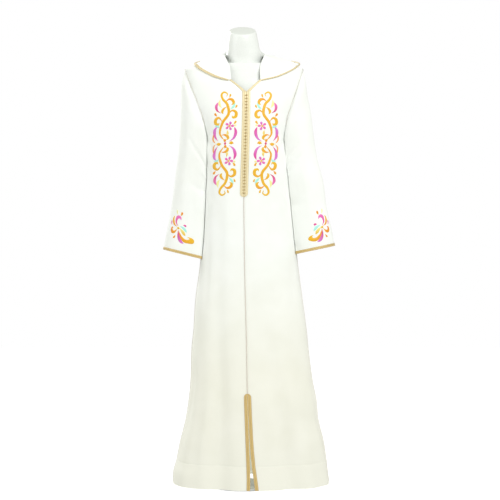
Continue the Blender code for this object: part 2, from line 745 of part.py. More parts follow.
def make_sleeves(collection):
    for side, word in ((RIGHT, "right"), (LEFT, "left")):
        grid = sleeve_grid(side)
        normals = grid_normals(grid, True)
        if (grid[-1][0] - grid[-1][len(grid[-1]) // 2]).dot(normals[-1][0]) < 0:
            normals = [[-normal for normal in line] for line in normals]
        ways = [below - above for above, below in zip(grid[0], grid[1])]
        panel_normals = [robe_normal(*place) for place in armhole_places(side)]
        normals[0] = [mitred(*three) for three in zip(normals[0], panel_normals, ways)]
        cloth("sleeve_" + word, grid, normals, True, collection)
        rows = [(grid[-1][column], grid[-2][column], normals[-1][column], normals[-2][column])
                for column in range(len(grid[-1]))]
        ribbon("cuff_braid_" + word, rows, True, collection)


# ---------------------------------------------------------------- the hood

def hood_line(side, station):
    """The hood's section at a station, from the neck seam to the free edge."""
    neck, roll, fold, edge = (Vector(point) for point in
                              (station.neck, station.roll, station.fold, station.edge))
    room = Vector((0, station.room / 2, 0))
    line = [
        neck,
        roll,
        roll.lerp(fold, 0.35),
        roll.lerp(fold, 0.80) - room,
        fold,
        fold.lerp(edge, 0.22) + room,
        fold.lerp(edge, 0.62) + room * 0.7,
        edge,
    ]
    for number, point in enumerate(line):
        share = number / (len(line) - 1)
        point.x *= side * (1 + (HOOD_REACH[side] - 1) * share)
        point.x += smooth(ROBE, "centre", point.z) * (1 - share)
    return line


def hood_section(knots):
    """Points down one section of the hood, the last stretch as wide as the edge braid."""
    path = [smooth_curve(knots, step / FINE_STEPS) for step in range(FINE_STEPS + 1)]
    run = [0.0]
    for first, second in zip(path, path[1:]):
        run.append(run[-1] + (second - first).length)
    places = []
    for stretch, steps in enumerate(HOOD_STEPS):
        places += [(stretch + step / steps) / len(HOOD_STEPS) * FINE_STEPS for step in range(steps)]
    distances = [run[int(place)] for place in places]
    inner = run[-1] - min(EDGE_BRAID_WIDTH, EDGE_SHARE * run[-1])
    line = []
    for distance in distances:
        wanted = distance * inner / distances[-1]
        step = min(bisect_right(run, wanted) - 1, FINE_STEPS - 1)
        line.append(path[step].lerp(path[step + 1], (wanted - run[step]) / (run[step + 1] - run[step])))
    return line + [path[-1]]


def hood_grid():
    Spot = namedtuple("Spot", "along x y z")
    lines = {side: [hood_line(side, station) for station in HOOD] for side in (RIGHT, LEFT)}
    grid = []
    for step in range(-HOOD_STATIONS // 2, HOOD_STATIONS // 2 + 1):
        side = LEFT if step >= 0 else RIGHT
        along = abs(step) / (HOOD_STATIONS / 2)
        knots = []
        for column in range(len(lines[side][0])):
            track = [Spot(row.along, *line[column]) for row, line in zip(HOOD, lines[side])]
            mirrored = track[1]._replace(along=-track[1].along, x=-track[1].x)
            track = [mirrored] + track
            knots.append(Vector([smooth(track, axis, along) for axis in "xyz"]))
        line = hood_section(knots)
        clearances = [hood_clearance(point, line[0]) for point in line]
        grid.append([clear_of_robe(*pair) for pair in zip(line, clearances)])
    last_row, last_column = len(grid) - 1, len(grid[0]) - 1
    for _ in range(3):
        for row in range(last_row + 1):
            for column in range(last_column + 1):
                if row < last_row:
                    lift_edge(grid, (row, column), (row + 1, column))
                if column < last_column:
                    lift_edge(grid, (row, column), (row, column + 1))
    return grid


def hood_clearance(point, neck):
    at_neck = WALL + 2 * SEAM
    return at_neck + (HOOD_CLEARANCE - at_neck) * min((point - neck).length / HOOD_RISE, 1.0)


def lift_edge(grid, first, second):
    """Lifts two neighbouring points of the hood where the straight edge between them cuts the robe."""
    one, other = grid[first[0]][first[1]], grid[second[0]][second[1]]
    middle = (one + other) / 2
    clearance = hood_clearance(middle, (grid[first[0]][0] + grid[second[0]][0]) / 2)
    distance, out = outside(middle)
    if distance < clearance:
        grid[first[0]][first[1]] = one + out * (clearance - distance)
        grid[second[0]][second[1]] = other + out * (clearance - distance)


def make_hood(collection):
    grid = hood_grid()
    normals = grid_normals(grid, False)
    middle = len(grid) // 2
    if normals[middle][-2].y > 0:
        normals = [[-normal for normal in line] for line in normals]
    normals = softened(softened(normals))
    cloth("hood", grid, normals, False, collection)
    sections = []
    for line, pointing in zip(grid, normals):
        inner, edge = line[-2], line[-1]
        out = (edge - inner).normalized()
        near, far = 2 * SEAM, 2 * SEAM + BRAID_HEIGHT
        sections.append((
            inner + pointing[-2] * far,
            edge + out * far + pointing[-1] * far,
            edge + out * far - pointing[-1] * (WALL + far),
            inner - pointing[-2] * (WALL + far),
            inner - pointing[-2] * (WALL + near),
            edge + out * near - pointing[-1] * (WALL + near),
            edge + out * near + pointing[-1] * near,
            inner + pointing[-2] * near,
        ))
    swept("hood_braid", sections, False, collection, GOLD_BRAID)


# ---------------------------------------------------------------- the dress form

def oval(height, half_width, front, back, centre, sides):
    ring = []
    for step in range(sides):
        turn = math.tau * step / sides
        depth = front if math.cos(turn) > 0 else back
        ring.append(Vector((centre + half_width * math.sin(turn), -depth * math.cos(turn), height)))
    return ring


def make_form(collection):
    rings = [oval(row.height, row.half_width, row.front, row.back, 0.0, TORSO_SIDES) for row in TORSO]
    inset = WALL + FORM_CLEARANCE
    for height in SHOULDER_REST:
        ring = []
        for step in range(TORSO_SIDES):
            angle = math.tau * step / TORSO_SIDES
            ring.append(robe_point(angle, height) - robe_normal(angle, height) * inset)
        rings.append(ring)
    throat = THROAT[0]
    collar = oval(0.0, throat.half_width, throat.half_depth, throat.half_depth, NECK_CENTRE, TORSO_SIDES)
    rings.append([Vector((point.x, point.y + throat.middle,
                          throat.height - SEAM + point.y * throat.tilt)) for point in collar])
    swept("form_torso", rings, False, collection, FORM_WHITE)
    rings = []
    for row in THROAT:
        ring = oval(0.0, row.half_width, row.half_depth, row.half_depth, NECK_CENTRE, NECK_SIDES)
        rings.append([Vector((point.x, point.y + row.middle, row.height + point.y * row.tilt))
                      for point in ring])
    swept("form_neck", rings, False, collection, FORM_WHITE)


def make_stand(collection):
    bpy.ops.mesh.primitive_cylinder_add(vertices=36, radius=BASE_RADIUS, depth=BASE_HEIGHT,
                                        location=(0, 0, BASE_HEIGHT / 2))
    base = bpy.context.active_object
    base.name = "stand_base"
    chamfer = base.modifiers.new("Chamfer", "BEVEL")
    chamfer.width = BASE_CHAMFER
    chamfer.segments = 1
    keep(base, collection, STEEL)
    low, high = BASE_HEIGHT + SEAM, TORSO[0].height - SEAM
    bpy.ops.mesh.primitive_cylinder_add(vertices=24, radius=POLE_RADIUS, depth=high - low,
                                        location=(0, 0, (low + high) / 2))
    pole = bpy.context.active_object
    pole.name = "stand_pole"
    keep(pole, collection, STEEL)


def main():
    clear_scene()
    collection = bpy.data.collections.new(OBJECT_NAME)
    bpy.context.scene.collection.children.link(collection)
    make_panels(collection)
    make_front_braids(collection)
    make_centre_trims(collection)
    make_sleeves(collection)
    make_seam_cords(collection)
    make_hood(collection)
    make_form(collection)
    make_stand(collection)


main()
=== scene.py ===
# %% [markdown]
# # A hooded robe on a dress form
# A djellaba is a long Moroccan robe with wide sleeves and a hood. This one is cut from ivory
# crepe, edged with flat gold braid, closed with a row of knotted buttons and embroidered in bright
# silk. It hangs on a headless dress form, as in a shop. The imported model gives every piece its
# place, and the steps below give each one its look.

# %% Load the frame
import math
from bisect import bisect_right
from collections import namedtuple

import bmesh
import bpy
from mathutils import Matrix, Vector


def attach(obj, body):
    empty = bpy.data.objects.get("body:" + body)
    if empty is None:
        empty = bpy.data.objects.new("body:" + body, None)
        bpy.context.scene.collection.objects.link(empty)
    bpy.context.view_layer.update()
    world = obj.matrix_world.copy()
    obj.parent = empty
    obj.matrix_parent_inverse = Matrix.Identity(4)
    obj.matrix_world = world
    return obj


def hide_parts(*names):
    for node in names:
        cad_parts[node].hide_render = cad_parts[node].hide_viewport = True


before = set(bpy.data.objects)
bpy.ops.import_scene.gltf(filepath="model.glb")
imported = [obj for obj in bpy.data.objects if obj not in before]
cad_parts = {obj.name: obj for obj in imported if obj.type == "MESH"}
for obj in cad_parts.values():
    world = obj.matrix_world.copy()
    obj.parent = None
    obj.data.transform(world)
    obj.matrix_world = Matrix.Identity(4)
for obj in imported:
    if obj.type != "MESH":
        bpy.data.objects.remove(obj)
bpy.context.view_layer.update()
RIGHT, LEFT = -1, 1    # the wearer's right is at -X
SIDES = ((RIGHT, "right"), (LEFT, "left"))
print("pieces in the frame:", len(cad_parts))

# %% [markdown]
# ## The camera
# The robe is seen from the front, level with its middle, through a long lens, so its upright lines
# stay upright. The camera comes first, because everything else is judged through it.

# %% Camera
CAMERA_PLACE = (0.021, -5.0, 0.829)
CAMERA_LENS = 102.4    # millimetres, on a sensor 36 mm wide

bpy.ops.object.camera_add(location=CAMERA_PLACE, rotation=(math.pi / 2, 0, 0))
camera = bpy.context.object
camera.data.lens = CAMERA_LENS
bpy.context.scene.camera = camera
print("camera at", tuple(round(value, 3) for value in camera.location))

# %% [markdown]
# ## Studio
# The floor is white and so is the room around it. One big soft lamp stands in front, high on the
# wearer's left, with weaker ones at both sides and one behind, and the white room fills the shade.
# Cream cloth shows its folds only if one side gets a little more light than the other.

# %% A helper for colours, and one for nodes
def linear(code, alpha=1.0):
    """An sRGB hex colour as the linear numbers that Blender works in."""
    parts = [int(code[place:place + 2], 16) / 255 for place in (1, 3, 5)]
    return [part / 12.92 if part <= 0.04045 else ((part + 0.055) / 1.055) ** 2.4
            for part in parts] + [alpha]


def add_node(tree, kind, inputs=None, **settings):
    """Adds a node. Each input is a value, or another node's output to link."""
    made = tree.nodes.new(kind)
    for name, value in settings.items():
        setattr(made, name, value)
    for name, value in (inputs or {}).items():
        if isinstance(value, bpy.types.NodeSocket):
            tree.links.new(value, made.inputs[name])
        else:
            made.inputs[name].default_value = value
    return made


print("cream in linear light:", [round(part, 3) for part in linear("#F4F2E8")])

# %% The white room and the lamps
ROOM_SEEN = 1.0      # the wall behind the robe, as the camera sees it
ROOM_LIGHT = 0.60    # the light that the same walls throw on the robe

world = bpy.data.worlds.new("white studio")
bpy.context.scene.world = world
world.use_nodes = True
tree = world.node_tree
tree.nodes.clear()
seen = add_node(tree, "ShaderNodeLightPath").outputs["Is Camera Ray"]
thrown = add_node(tree, "ShaderNodeBackground", {
    "Color": linear("#FEFEF6"), "Strength": ROOM_LIGHT})
shown = add_node(tree, "ShaderNodeBackground", {
    "Color": linear("#FFFFFF"), "Strength": ROOM_SEEN})
both = add_node(tree, "ShaderNodeMixShader", {0: seen, 1: thrown.outputs[0], 2: shown.outputs[0]})
add_node(tree, "ShaderNodeOutputWorld", {"Surface": both.outputs[0]})

Lamp = namedtuple("Lamp", "name place target size watts")
LAMPS = (
    Lamp("front_lamp", (1.7, -3.3, 3.4), (0.0, 0.0, 1.1), 2.0, 103.0),
    Lamp("right_hand_lamp", (3.2, -0.9, 1.2), (0.0, 0.0, 1.1), 2.2, 11.0),
    Lamp("left_hand_lamp", (-3.0, -1.5, 2.4), (0.0, 0.0, 1.2), 2.4, 40.0),
    Lamp("back_lamp", (-2.3, 3.1, 3.0), (0.0, 0.0, 1.0), 1.8, 78.0),
)
for lamp in LAMPS:
    bpy.ops.object.light_add(type="AREA", location=lamp.place)
    light = bpy.context.object
    light.name = lamp.name
    light.data.size = lamp.size
    light.data.energy = lamp.watts
    aim = Vector(lamp.target) - Vector(lamp.place)
    light.rotation_euler = aim.to_track_quat("-Z", "Y").to_euler()

# Thin crepe lets some of the studio's light through to its inner side. The cloth here is opaque,
# so one weak lamp under the skirt gives that glow back, where the slit lets the eye in.
bpy.ops.object.light_add(type="POINT", location=(0.03, 0.0, 0.45))
glow = bpy.context.object
glow.name = "skirt_glow"
glow.data.energy = 1.6
glow.data.shadow_soft_size = 0.05
bpy.context.scene.view_settings.view_transform = "Standard"
print("lamps:", [lamp.name for lamp in LAMPS])

# %% [markdown]
# ## Materials
# Each finish starts from what the real one is and how its surface was made. A fabric is rough and
# hardly shiny, with a soft sheen from its loose fibres. Metal thread glints. Rayon embroidery
# thread shines along its stitches. Every pattern has a real size in millimetres.

# %% Starting a material
MM = 0.001


def start_material(name, colour, roughness, metallic=0.0, specular=0.5):
    """A material with its plain values set on the shader's own sockets."""
    made = bpy.data.materials.new(name)
    made.use_nodes = True
    shader = made.node_tree.nodes["Principled BSDF"]
    shader.inputs["Base Color"].default_value = linear(colour)
    shader.inputs["Roughness"].default_value = roughness
    shader.inputs["Metallic"].default_value = metallic
    shader.inputs["Specular IOR Level"].default_value = specular
    return made, made.node_tree, shader


def colour_ramp(tree, factor, stops):
    """A ramp between hex colours, each at its place from 0 to 1."""
    ramp = add_node(tree, "ShaderNodeValToRGB", {"Fac": factor})
    elements = ramp.color_ramp.elements
    for number, (place, code) in enumerate(stops):
        element = elements[number] if number < 2 else elements.new(place)
        element.position = place
        element.color = linear(code)
    return ramp.outputs["Color"]


print("one millimetre is", MM)

# %% [markdown]
# Crepe is woven from hard-twisted yarns, which kink and give it a fine pebbled face with no
# direction. The kinks are about 0.5 mm apart. They are drawn at 1.4 mm, because finer ones would
# vanish at this size. The turned-up hem is two layers thick, so it looks a little lighter and
# denser than the single cloth above it.

# %% Ivory crepe
PEBBLE = 1.4 * MM
YARN = 0.9 * MM
CLOUDS = 9.0         # faint changes of tone, this many to the metre
HEM_TOP = 0.094      # height of the hem's stitching above the floor
HEM_BLEND = 0.004
SHADE_PAINTED_BELOW = 0.40    # painted shade: the cloth is painted darker and creamier below this height, and painted whitest above the next, where more light falls
LIGHT_PAINTED_ABOVE = 0.85


def make_crepe():
    made, tree, shader = start_material("ivory polyester crepe", "#F5F4EA", 0.82, specular=0.25)
    place = add_node(tree, "ShaderNodeTexCoord")
    cloudy = add_node(tree, "ShaderNodeTexNoise", {
        "Vector": place.outputs["Object"], "Scale": CLOUDS})
    skirt = colour_ramp(tree, cloudy.outputs["Fac"], ((0.30, "#EEEEE2"), (0.70, "#F3F3E9")))
    bodice = colour_ramp(tree, cloudy.outputs["Fac"], ((0.30, "#F0F3EF"), (0.70, "#F5F8F6")))
    height = add_node(tree, "ShaderNodeSeparateXYZ", {"Vector": place.outputs["Object"]})
    # Painted light and shade by height: the lower robe takes the darker, creamier ramp and the upper
    # robe the whiter one.
    painted_light_by_height = add_node(tree, "ShaderNodeMapRange", {
        "Value": height.outputs["Z"], "From Min": SHADE_PAINTED_BELOW, "From Max": LIGHT_PAINTED_ABOVE})
    cloth = add_node(tree, "ShaderNodeMix", {
        0: painted_light_by_height.outputs["Result"], 6: skirt, 7: bodice}, data_type="RGBA")
    double = add_node(tree, "ShaderNodeMapRange", {
        "Value": height.outputs["Z"], "From Min": HEM_TOP - HEM_BLEND, "From Max": HEM_TOP,
        "To Min": 1.0, "To Max": 0.0})
    tone = add_node(tree, "ShaderNodeMix", {
        0: double.outputs["Result"], 6: cloth.outputs[2], 7: linear("#F2F2E7")}, data_type="RGBA")
    tree.links.new(tone.outputs[2], shader.inputs["Base Color"])
    pebbles = add_node(tree, "ShaderNodeTexNoise", {
        "Vector": place.outputs["Object"], "Scale": 1 / PEBBLE, "Detail": 3.0})
    yarns = add_node(tree, "ShaderNodeTexWave", {
        "Vector": place.outputs["UV"], "Scale": 1 / YARN / math.tau, "Distortion": 2.0},
        bands_direction="Y")
    both = add_node(tree, "ShaderNodeMath", {0: pebbles.outputs["Fac"], 1: yarns.outputs["Fac"]})
    bump = add_node(tree, "ShaderNodeBump", {
        "Height": both.outputs["Value"], "Strength": 0.35, "Distance": 0.25 * MM})
    tree.links.new(bump.outputs["Normal"], shader.inputs["Normal"])
    shader.inputs["Sheen Weight"].default_value = 0.12
    shader.inputs["Sheen Roughness"].default_value = 0.6
    return made


crepe = make_crepe()
print("made", crepe.name)

# %% [markdown]
# The flat braid is plaited from gold thread: a silk core wrapped in a thin metallic strip. Its
# colour follows how deep each point of the braid lies: painted shade in the hollows between the
# threads and a painted glint on their crowns. The closure's braid is paler than the slit's.

# %% Gold braid, pale and dark
FIBRE = 0.8 * MM


def make_braid_thread(name, painted_shade, middle, painted_glint):
    made, tree, shader = start_material(name, middle, 0.46, metallic=0.25)
    relief = add_node(tree, "ShaderNodeAttribute", attribute_name="relief")
    # Painted shade and glint: the relief picks a darker colour in the braid's hollows and a lighter
    # one on its crowns.
    tone = colour_ramp(tree, relief.outputs["Fac"], ((0.05, painted_shade), (0.45, middle), (0.95, painted_glint)))
    tree.links.new(tone, shader.inputs["Base Color"])
    place = add_node(tree, "ShaderNodeTexCoord")
    fibres = add_node(tree, "ShaderNodeTexNoise", {
        "Vector": place.outputs["Object"], "Scale": 1 / FIBRE, "Detail": 2.0})
    bump = add_node(tree, "ShaderNodeBump", {
        "Height": fibres.outputs["Fac"], "Strength": 0.4, "Distance": 0.2 * MM})
    tree.links.new(bump.outputs["Normal"], shader.inputs["Normal"])
    shader.inputs["Sheen Weight"].default_value = 0.2
    return made


pale_gold = make_braid_thread("pale gold plaited thread", "#AE9862", "#DBCB9C", "#EDE1BE")
gold = make_braid_thread("gold plaited thread", "#82682F", "#C0A160", "#D9C084")
knot_gold = make_braid_thread("knotted gold thread", "#5C4820", "#8F753A", "#BDA263")
edge_gold = make_braid_thread("soft gold plaited thread", "#A08A58", "#D8C594", "#ECDDB4")
beige = make_braid_thread("beige twisted silk", "#A0928A", "#C8BCB2", "#E0D6CC")
ivory = make_braid_thread("ivory twisted silk", "#BDBAB0", "#DCDAD0", "#EEECE4")
print("made", pale_gold.name, gold.name, edge_gold.name, knot_gold.name, beige.name, ivory.name)

# %% [markdown]
# The flowers are worked in satin stitch: shiny rayon thread laid side by side across each petal.
# The colour of every petal is kept in an attribute, so that it can fade from one thread to the
# next. The threads are 0.4 mm thick and are drawn at 0.9 mm.

# %% Embroidery thread
STITCH = 0.9 * MM


def make_stitching():
    made, tree, shader = start_material("rayon embroidery thread", "#F2A33A", 0.42, specular=0.45)
    colour = add_node(tree, "ShaderNodeAttribute", attribute_name="thread")
    tree.links.new(colour.outputs["Color"], shader.inputs["Base Color"])
    place = add_node(tree, "ShaderNodeTexCoord")
    threads = add_node(tree, "ShaderNodeTexWave", {
        "Vector": place.outputs["UV"], "Scale": 1 / STITCH / math.tau, "Distortion": 0.6},
        bands_direction="X")
    bump = add_node(tree, "ShaderNodeBump", {
        "Height": threads.outputs["Fac"], "Strength": 0.5, "Distance": 0.2 * MM})
    tree.links.new(bump.outputs["Normal"], shader.inputs["Normal"])
    shader.inputs["Sheen Weight"].default_value = 0.1
    return made


stitching = make_stitching()
print("made", stitching.name)

# %% [markdown]
# The form is moulded glass fibre with white satin lacquer, which leaves a faint orange-peel
# texture about 4 mm across. A disc of wood closes the neck, in a greyer, flatter paint, with
# painted shade on its upturned face added to that grey. The pole and base are brushed steel:
# long scratches stretch the shine sideways.

# %% Lacquered form, painted cap and brushed steel
ORANGE_PEEL = 4.0 * MM
PAINT_GRAIN = 2.0 * MM
SCRATCH = 0.6 * MM
SCRATCH_STRETCH = 50    # a scratch is this many times longer than it is wide


def make_lacquer():
    made, tree, shader = start_material("white satin lacquer", "#E6EAE5", 0.38)
    place = add_node(tree, "ShaderNodeTexCoord")
    peel = add_node(tree, "ShaderNodeTexNoise", {
        "Vector": place.outputs["Object"], "Scale": 1 / ORANGE_PEEL})
    tone = colour_ramp(tree, peel.outputs["Fac"], ((0.3, "#E4E8E4"), (0.7, "#E9ECE9")))
    tree.links.new(tone, shader.inputs["Base Color"])
    bump = add_node(tree, "ShaderNodeBump", {
        "Height": peel.outputs["Fac"], "Strength": 0.15, "Distance": 0.2 * MM})
    tree.links.new(bump.outputs["Normal"], shader.inputs["Normal"])
    shader.inputs["Coat Weight"].default_value = 0.15
    return made


def make_cap_paint_and_shade():
    # Painted shade: the cap's grey is partly its own paint and partly shade painted on the face that
    # looks up.
    made, tree, shader = start_material("pale grey eggshell paint", "#DADEDA", 0.55)
    place = add_node(tree, "ShaderNodeTexCoord")
    grain = add_node(tree, "ShaderNodeTexNoise", {
        "Vector": place.outputs["Object"], "Scale": 1 / PAINT_GRAIN, "Detail": 3.0})
    tone = colour_ramp(tree, grain.outputs["Fac"], ((0.3, "#D8DCD7"), (0.7, "#DDE1DC")))
    tree.links.new(tone, shader.inputs["Base Color"])
    return made


def make_steel():
    made, tree, shader = start_material("brushed steel", "#B9BBBD", 0.34, metallic=1.0)
    place = add_node(tree, "ShaderNodeTexCoord")
    stretched = add_node(tree, "ShaderNodeMapping", {
        "Vector": place.outputs["Object"],
        "Scale": (1 / SCRATCH / SCRATCH_STRETCH, 1 / SCRATCH, 1 / SCRATCH)})
    scratches = add_node(tree, "ShaderNodeTexNoise", {
        "Vector": stretched.outputs["Vector"], "Scale": 1.0})
    rough = add_node(tree, "ShaderNodeMapRange", {
        "Value": scratches.outputs["Fac"], "To Min": 0.26, "To Max": 0.44})
    tree.links.new(rough.outputs["Result"], shader.inputs["Roughness"])
    bump = add_node(tree, "ShaderNodeBump", {
        "Height": scratches.outputs["Fac"], "Strength": 0.2, "Distance": 0.05 * MM})
    tree.links.new(bump.outputs["Normal"], shader.inputs["Normal"])
    return made


lacquer = make_lacquer()
cap_paint_and_shade = make_cap_paint_and_shade()
steel = make_steel()
print("made", lacquer.name, cap_paint_and_shade.name, steel.name)

# %% [markdown]
# ## The robe's measurements
# A tailor would measure the robe level by level: how far it reaches to each side, to the front and
# to the back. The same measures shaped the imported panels, so the fine cloth made here lies exactly
# on them. A smooth curve runs through the rows of each table.

# %% Heights and trims
HEM = 0.014                  # heights are metres above the floor
SLIT_TOP = 0.339
CLOSURE_END = 1.011
UNDERARM = 1.225
NECK_BOTTOM = 1.374
NECK_BEND = 1.3955
NECK_CORNER = 1.417
SHOULDER_TIP = 1.463
SHOULDER_KNEE = 1.487
NECK_POINT = 1.510
BACK_NECK_DIP = 0.013
SEAM = 0.3 * MM
CLOTH = 1.2 * MM             # thickness of the cloth and its turnings
CAD_WALL = 1.8 * MM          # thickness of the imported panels, which the hood clears
BRAID_WIDTH = 13.5 * MM
SLIT_BRAID_WIDTH = 12.0 * MM
EDGE_BRAID_WIDTH = 10.0 * MM
CORD_RADIUS = 1.1 * MM

Ring = namedtuple("Ring", "height right left front back squareness centre")
ROBE = (
    Ring(0.014, 0.249, 0.298, 0.192, 0.190, 2.10, 0.0162),
    Ring(0.056, 0.246, 0.292, 0.186, 0.184, 2.10, 0.0155),
    Ring(0.091, 0.236, 0.288, 0.181, 0.179, 2.10, 0.0148),
    Ring(0.161, 0.222, 0.278, 0.173, 0.170, 2.12, 0.0134),
    Ring(0.232, 0.204, 0.260, 0.165, 0.161, 2.14, 0.0118),
    Ring(0.302, 0.193, 0.253, 0.158, 0.153, 2.15, 0.0100),
    Ring(0.372, 0.186, 0.239, 0.151, 0.146, 2.16, 0.0088),
    Ring(0.478, 0.183, 0.225, 0.143, 0.138, 2.18, 0.0080),
    Ring(0.548, 0.176, 0.218, 0.138, 0.133, 2.20, 0.0072),
    Ring(0.654, 0.169, 0.204, 0.131, 0.126, 2.20, 0.0052),
    Ring(0.759, 0.155, 0.190, 0.125, 0.120, 2.20, 0.0030),
    Ring(0.850, 0.1445, 0.1795, 0.121, 0.115, 2.20, 0.0014),
    Ring(0.935, 0.1400, 0.1715, 0.118, 0.110, 2.20, 0.0004),
    Ring(1.011, 0.1375, 0.1645, 0.117, 0.104, 2.20, 0.0000),
    Ring(1.086, 0.1365, 0.1580, 0.119, 0.101, 2.20, 0.0020),
    Ring(1.160, 0.1375, 0.1515, 0.123, 0.101, 2.20, 0.0042),
    Ring(1.225, 0.1400, 0.1500, 0.124, 0.103, 2.22, 0.0060),
    Ring(1.250, 0.1470, 0.1570, 0.1235, 0.105, 2.25, 0.0066),
    Ring(1.287, 0.1620, 0.1690, 0.121, 0.108, 2.30, 0.0074),
    Ring(1.330, 0.1820, 0.1870, 0.117, 0.110, 2.30, 0.0080),
    Ring(1.380, 0.1960, 0.1985, 0.110, 0.108, 2.30, 0.0080),
    Ring(1.420, 0.2015, 0.2035, 0.100, 0.099, 2.30, 0.0056),
    Ring(1.450, 0.2050, 0.2060, 0.085, 0.087, 2.30, 0.0040),
    Ring(1.463, 0.2055, 0.2060, 0.077, 0.081, 2.30, 0.0034),
    Ring(1.468, 0.1970, 0.1980, 0.074, 0.078, 2.28, 0.0030),
    Ring(1.474, 0.1800, 0.1810, 0.071, 0.075, 2.26, 0.0026),
    Ring(1.487, 0.1400, 0.1410, 0.066, 0.070, 2.24, 0.0020),
    Ring(1.499, 0.1040, 0.1050, 0.062, 0.066, 2.22, 0.0014),
    Ring(1.510, 0.0720, 0.0730, 0.058, 0.062, 2.20, 0.0010),
    Ring(1.520, 0.0560, 0.0570, 0.054, 0.058, 2.20, 0.0006),
)
NeckRow = namedtuple("NeckRow", "height half_width")
NECK = (
    NeckRow(NECK_BOTTOM, 0.0000),
    NeckRow(NECK_BEND, 0.0240),
    NeckRow(NECK_CORNER, 0.0500),
    NeckRow(1.445, 0.0505),
    NeckRow(1.468, 0.0580),
    NeckRow(SHOULDER_KNEE, 0.0630),
    NeckRow(NECK_POINT, 0.0680),
)
SlitRow = namedtuple("SlitRow", "height swing half_gape")
SLIT = (    # the front opening swings to the wearer's left on its way down, and gapes at the hem
    SlitRow(HEM, 0.0138, 0.0082),
    SlitRow(0.056, 0.0118, 0.0052),
    SlitRow(0.091, 0.0094, 0.0030),
    SlitRow(0.144, 0.0068, 0.0015),
    SlitRow(0.196, 0.0052, 0.0008),
    SlitRow(0.267, 0.0038, 0.0003),
    SlitRow(SLIT_TOP, 0.0030, 0.0),
    SlitRow(0.443, 0.0018, 0.0),
    SlitRow(0.640, 0.0, 0.0),
)
print("levels measured:", len(ROBE))

# %% [markdown]
# ## Folds
# A robe that hangs free from the bust has a few long soft folds, which start anywhere between the
# hip and the knee and deepen down to the hem. Shorter, shallower creases pull from the underarms
# and under the bust, where the cloth is drawn by the sleeves. They are placed one by one and uneven.
# Angles run from the centre front towards the wearer's left, and a negative depth is a trough.

# %% Folds and creases
Fold = namedtuple("Fold", "top_angle hem_angle start depth width")
FOLDS = (
    Fold(-37.0, -22.0, 1.060, -0.0210, 9.5),
    Fold(-52.0, -47.0, 0.560, -0.0040, 8.0),
    Fold(-62.0, -54.0, 0.560, 0.0060, 10.0),
    Fold(13.0, 31.0, 0.780, -0.0170, 9.0),
    Fold(34.0, 48.0, 0.600, 0.0080, 8.0),
    Fold(70.0, 72.0, 0.420, 0.0050, 8.0),
    Fold(118.0, 126.0, 0.800, -0.0180, 8.0),
    Fold(150.0, 146.0, 0.940, 0.0130, 9.0),
    Fold(172.0, 169.0, 0.900, -0.0210, 7.5),
    Fold(196.0, 193.0, 1.000, 0.0130, 8.0),
    Fold(214.0, 217.0, 0.800, -0.0190, 7.5),
    Fold(243.0, 241.0, 0.600, 0.0100, 8.0),
)
FOLD_GROWTH = 1.3      # above 1, a fold deepens slowly at first and fast near the hem
GIRTH = 0.16           # the robe's usual reach, which turns a crease's angles into lengths
CREASE_ROUNDING = 0.8  # below 1, a crease keeps its depth nearer to its ends
CREASE_LIMIT = 3.0     # widths from its line, beyond which a crease is nothing
Crease = namedtuple("Crease", "angle height to_angle to_height depth width")
CREASES = (
    Crease(-72, 1.232, -42, 1.150, -0.0028, 0.013),
    Crease(-78, 1.215, -48, 1.085, 0.0022, 0.015),
    Crease(-70, 1.180, -52, 0.990, -0.0026, 0.016),
    Crease(74, 1.226, 47, 1.165, -0.0026, 0.012),
    Crease(80, 1.200, 55, 1.060, 0.0024, 0.016),
    Crease(70, 1.120, 60, 0.930, -0.0028, 0.017),
    Crease(-20, 1.080, -24, 0.800, 0.0020, 0.018),
    Crease(24, 1.050, 30, 0.740, -0.0030, 0.018),
    Crease(12, 0.900, 15, 0.560, 0.0022, 0.016),
    Crease(-56, 0.860, -50, 0.610, -0.0030, 0.018),
    Crease(60, 0.800, 52, 0.520, -0.0030, 0.020),
    Crease(36, 0.420, 33, 0.120, 0.0028, 0.014),
    Crease(-40, 0.340, -41, 0.060, 0.0030, 0.014),
    Crease(-70, 0.460, -74, 0.110, -0.0040, 0.018),
    Crease(76, 0.400, 80, 0.090, -0.0036, 0.018),
    Crease(108, 1.230, 132, 1.130, -0.0030, 0.014),
    Crease(104, 1.190, 126, 1.010, 0.0026, 0.016),
    Crease(138, 1.300, 150, 1.020, -0.0034, 0.020),
    Crease(166, 1.180, 160, 0.840, 0.0028, 0.020),
    Crease(184, 1.090, 186, 0.760, -0.0030, 0.018),
    Crease(207, 1.260, 212, 0.990, -0.0034, 0.020),
    Crease(251, 1.226, 229, 1.140, -0.0030, 0.014),
    Crease(256, 1.170, 236, 0.960, 0.0026, 0.016),
    Crease(132, 0.520, 137, 0.140, 0.0036, 0.016),
    Crease(182, 0.440, 181, 0.060, 0.0036, 0.015),
    Crease(229, 0.380, 231, 0.070, -0.0040, 0.017),
    Crease(262, 0.620, 258, 0.240, -0.0036, 0.018),
)
print(len(FOLDS), "long folds and", len(CREASES), "creases")

# %% [markdown]
# ## The robe's surface
# Each level section is a rounded oblong: an ellipse with a slightly higher power, which fills the
# corners as a body does. The folds and creases then push its points in or out.

# %% Reading a table and measuring a level
Level = namedtuple("Level", "centre right left front back power")
levels_read = {}


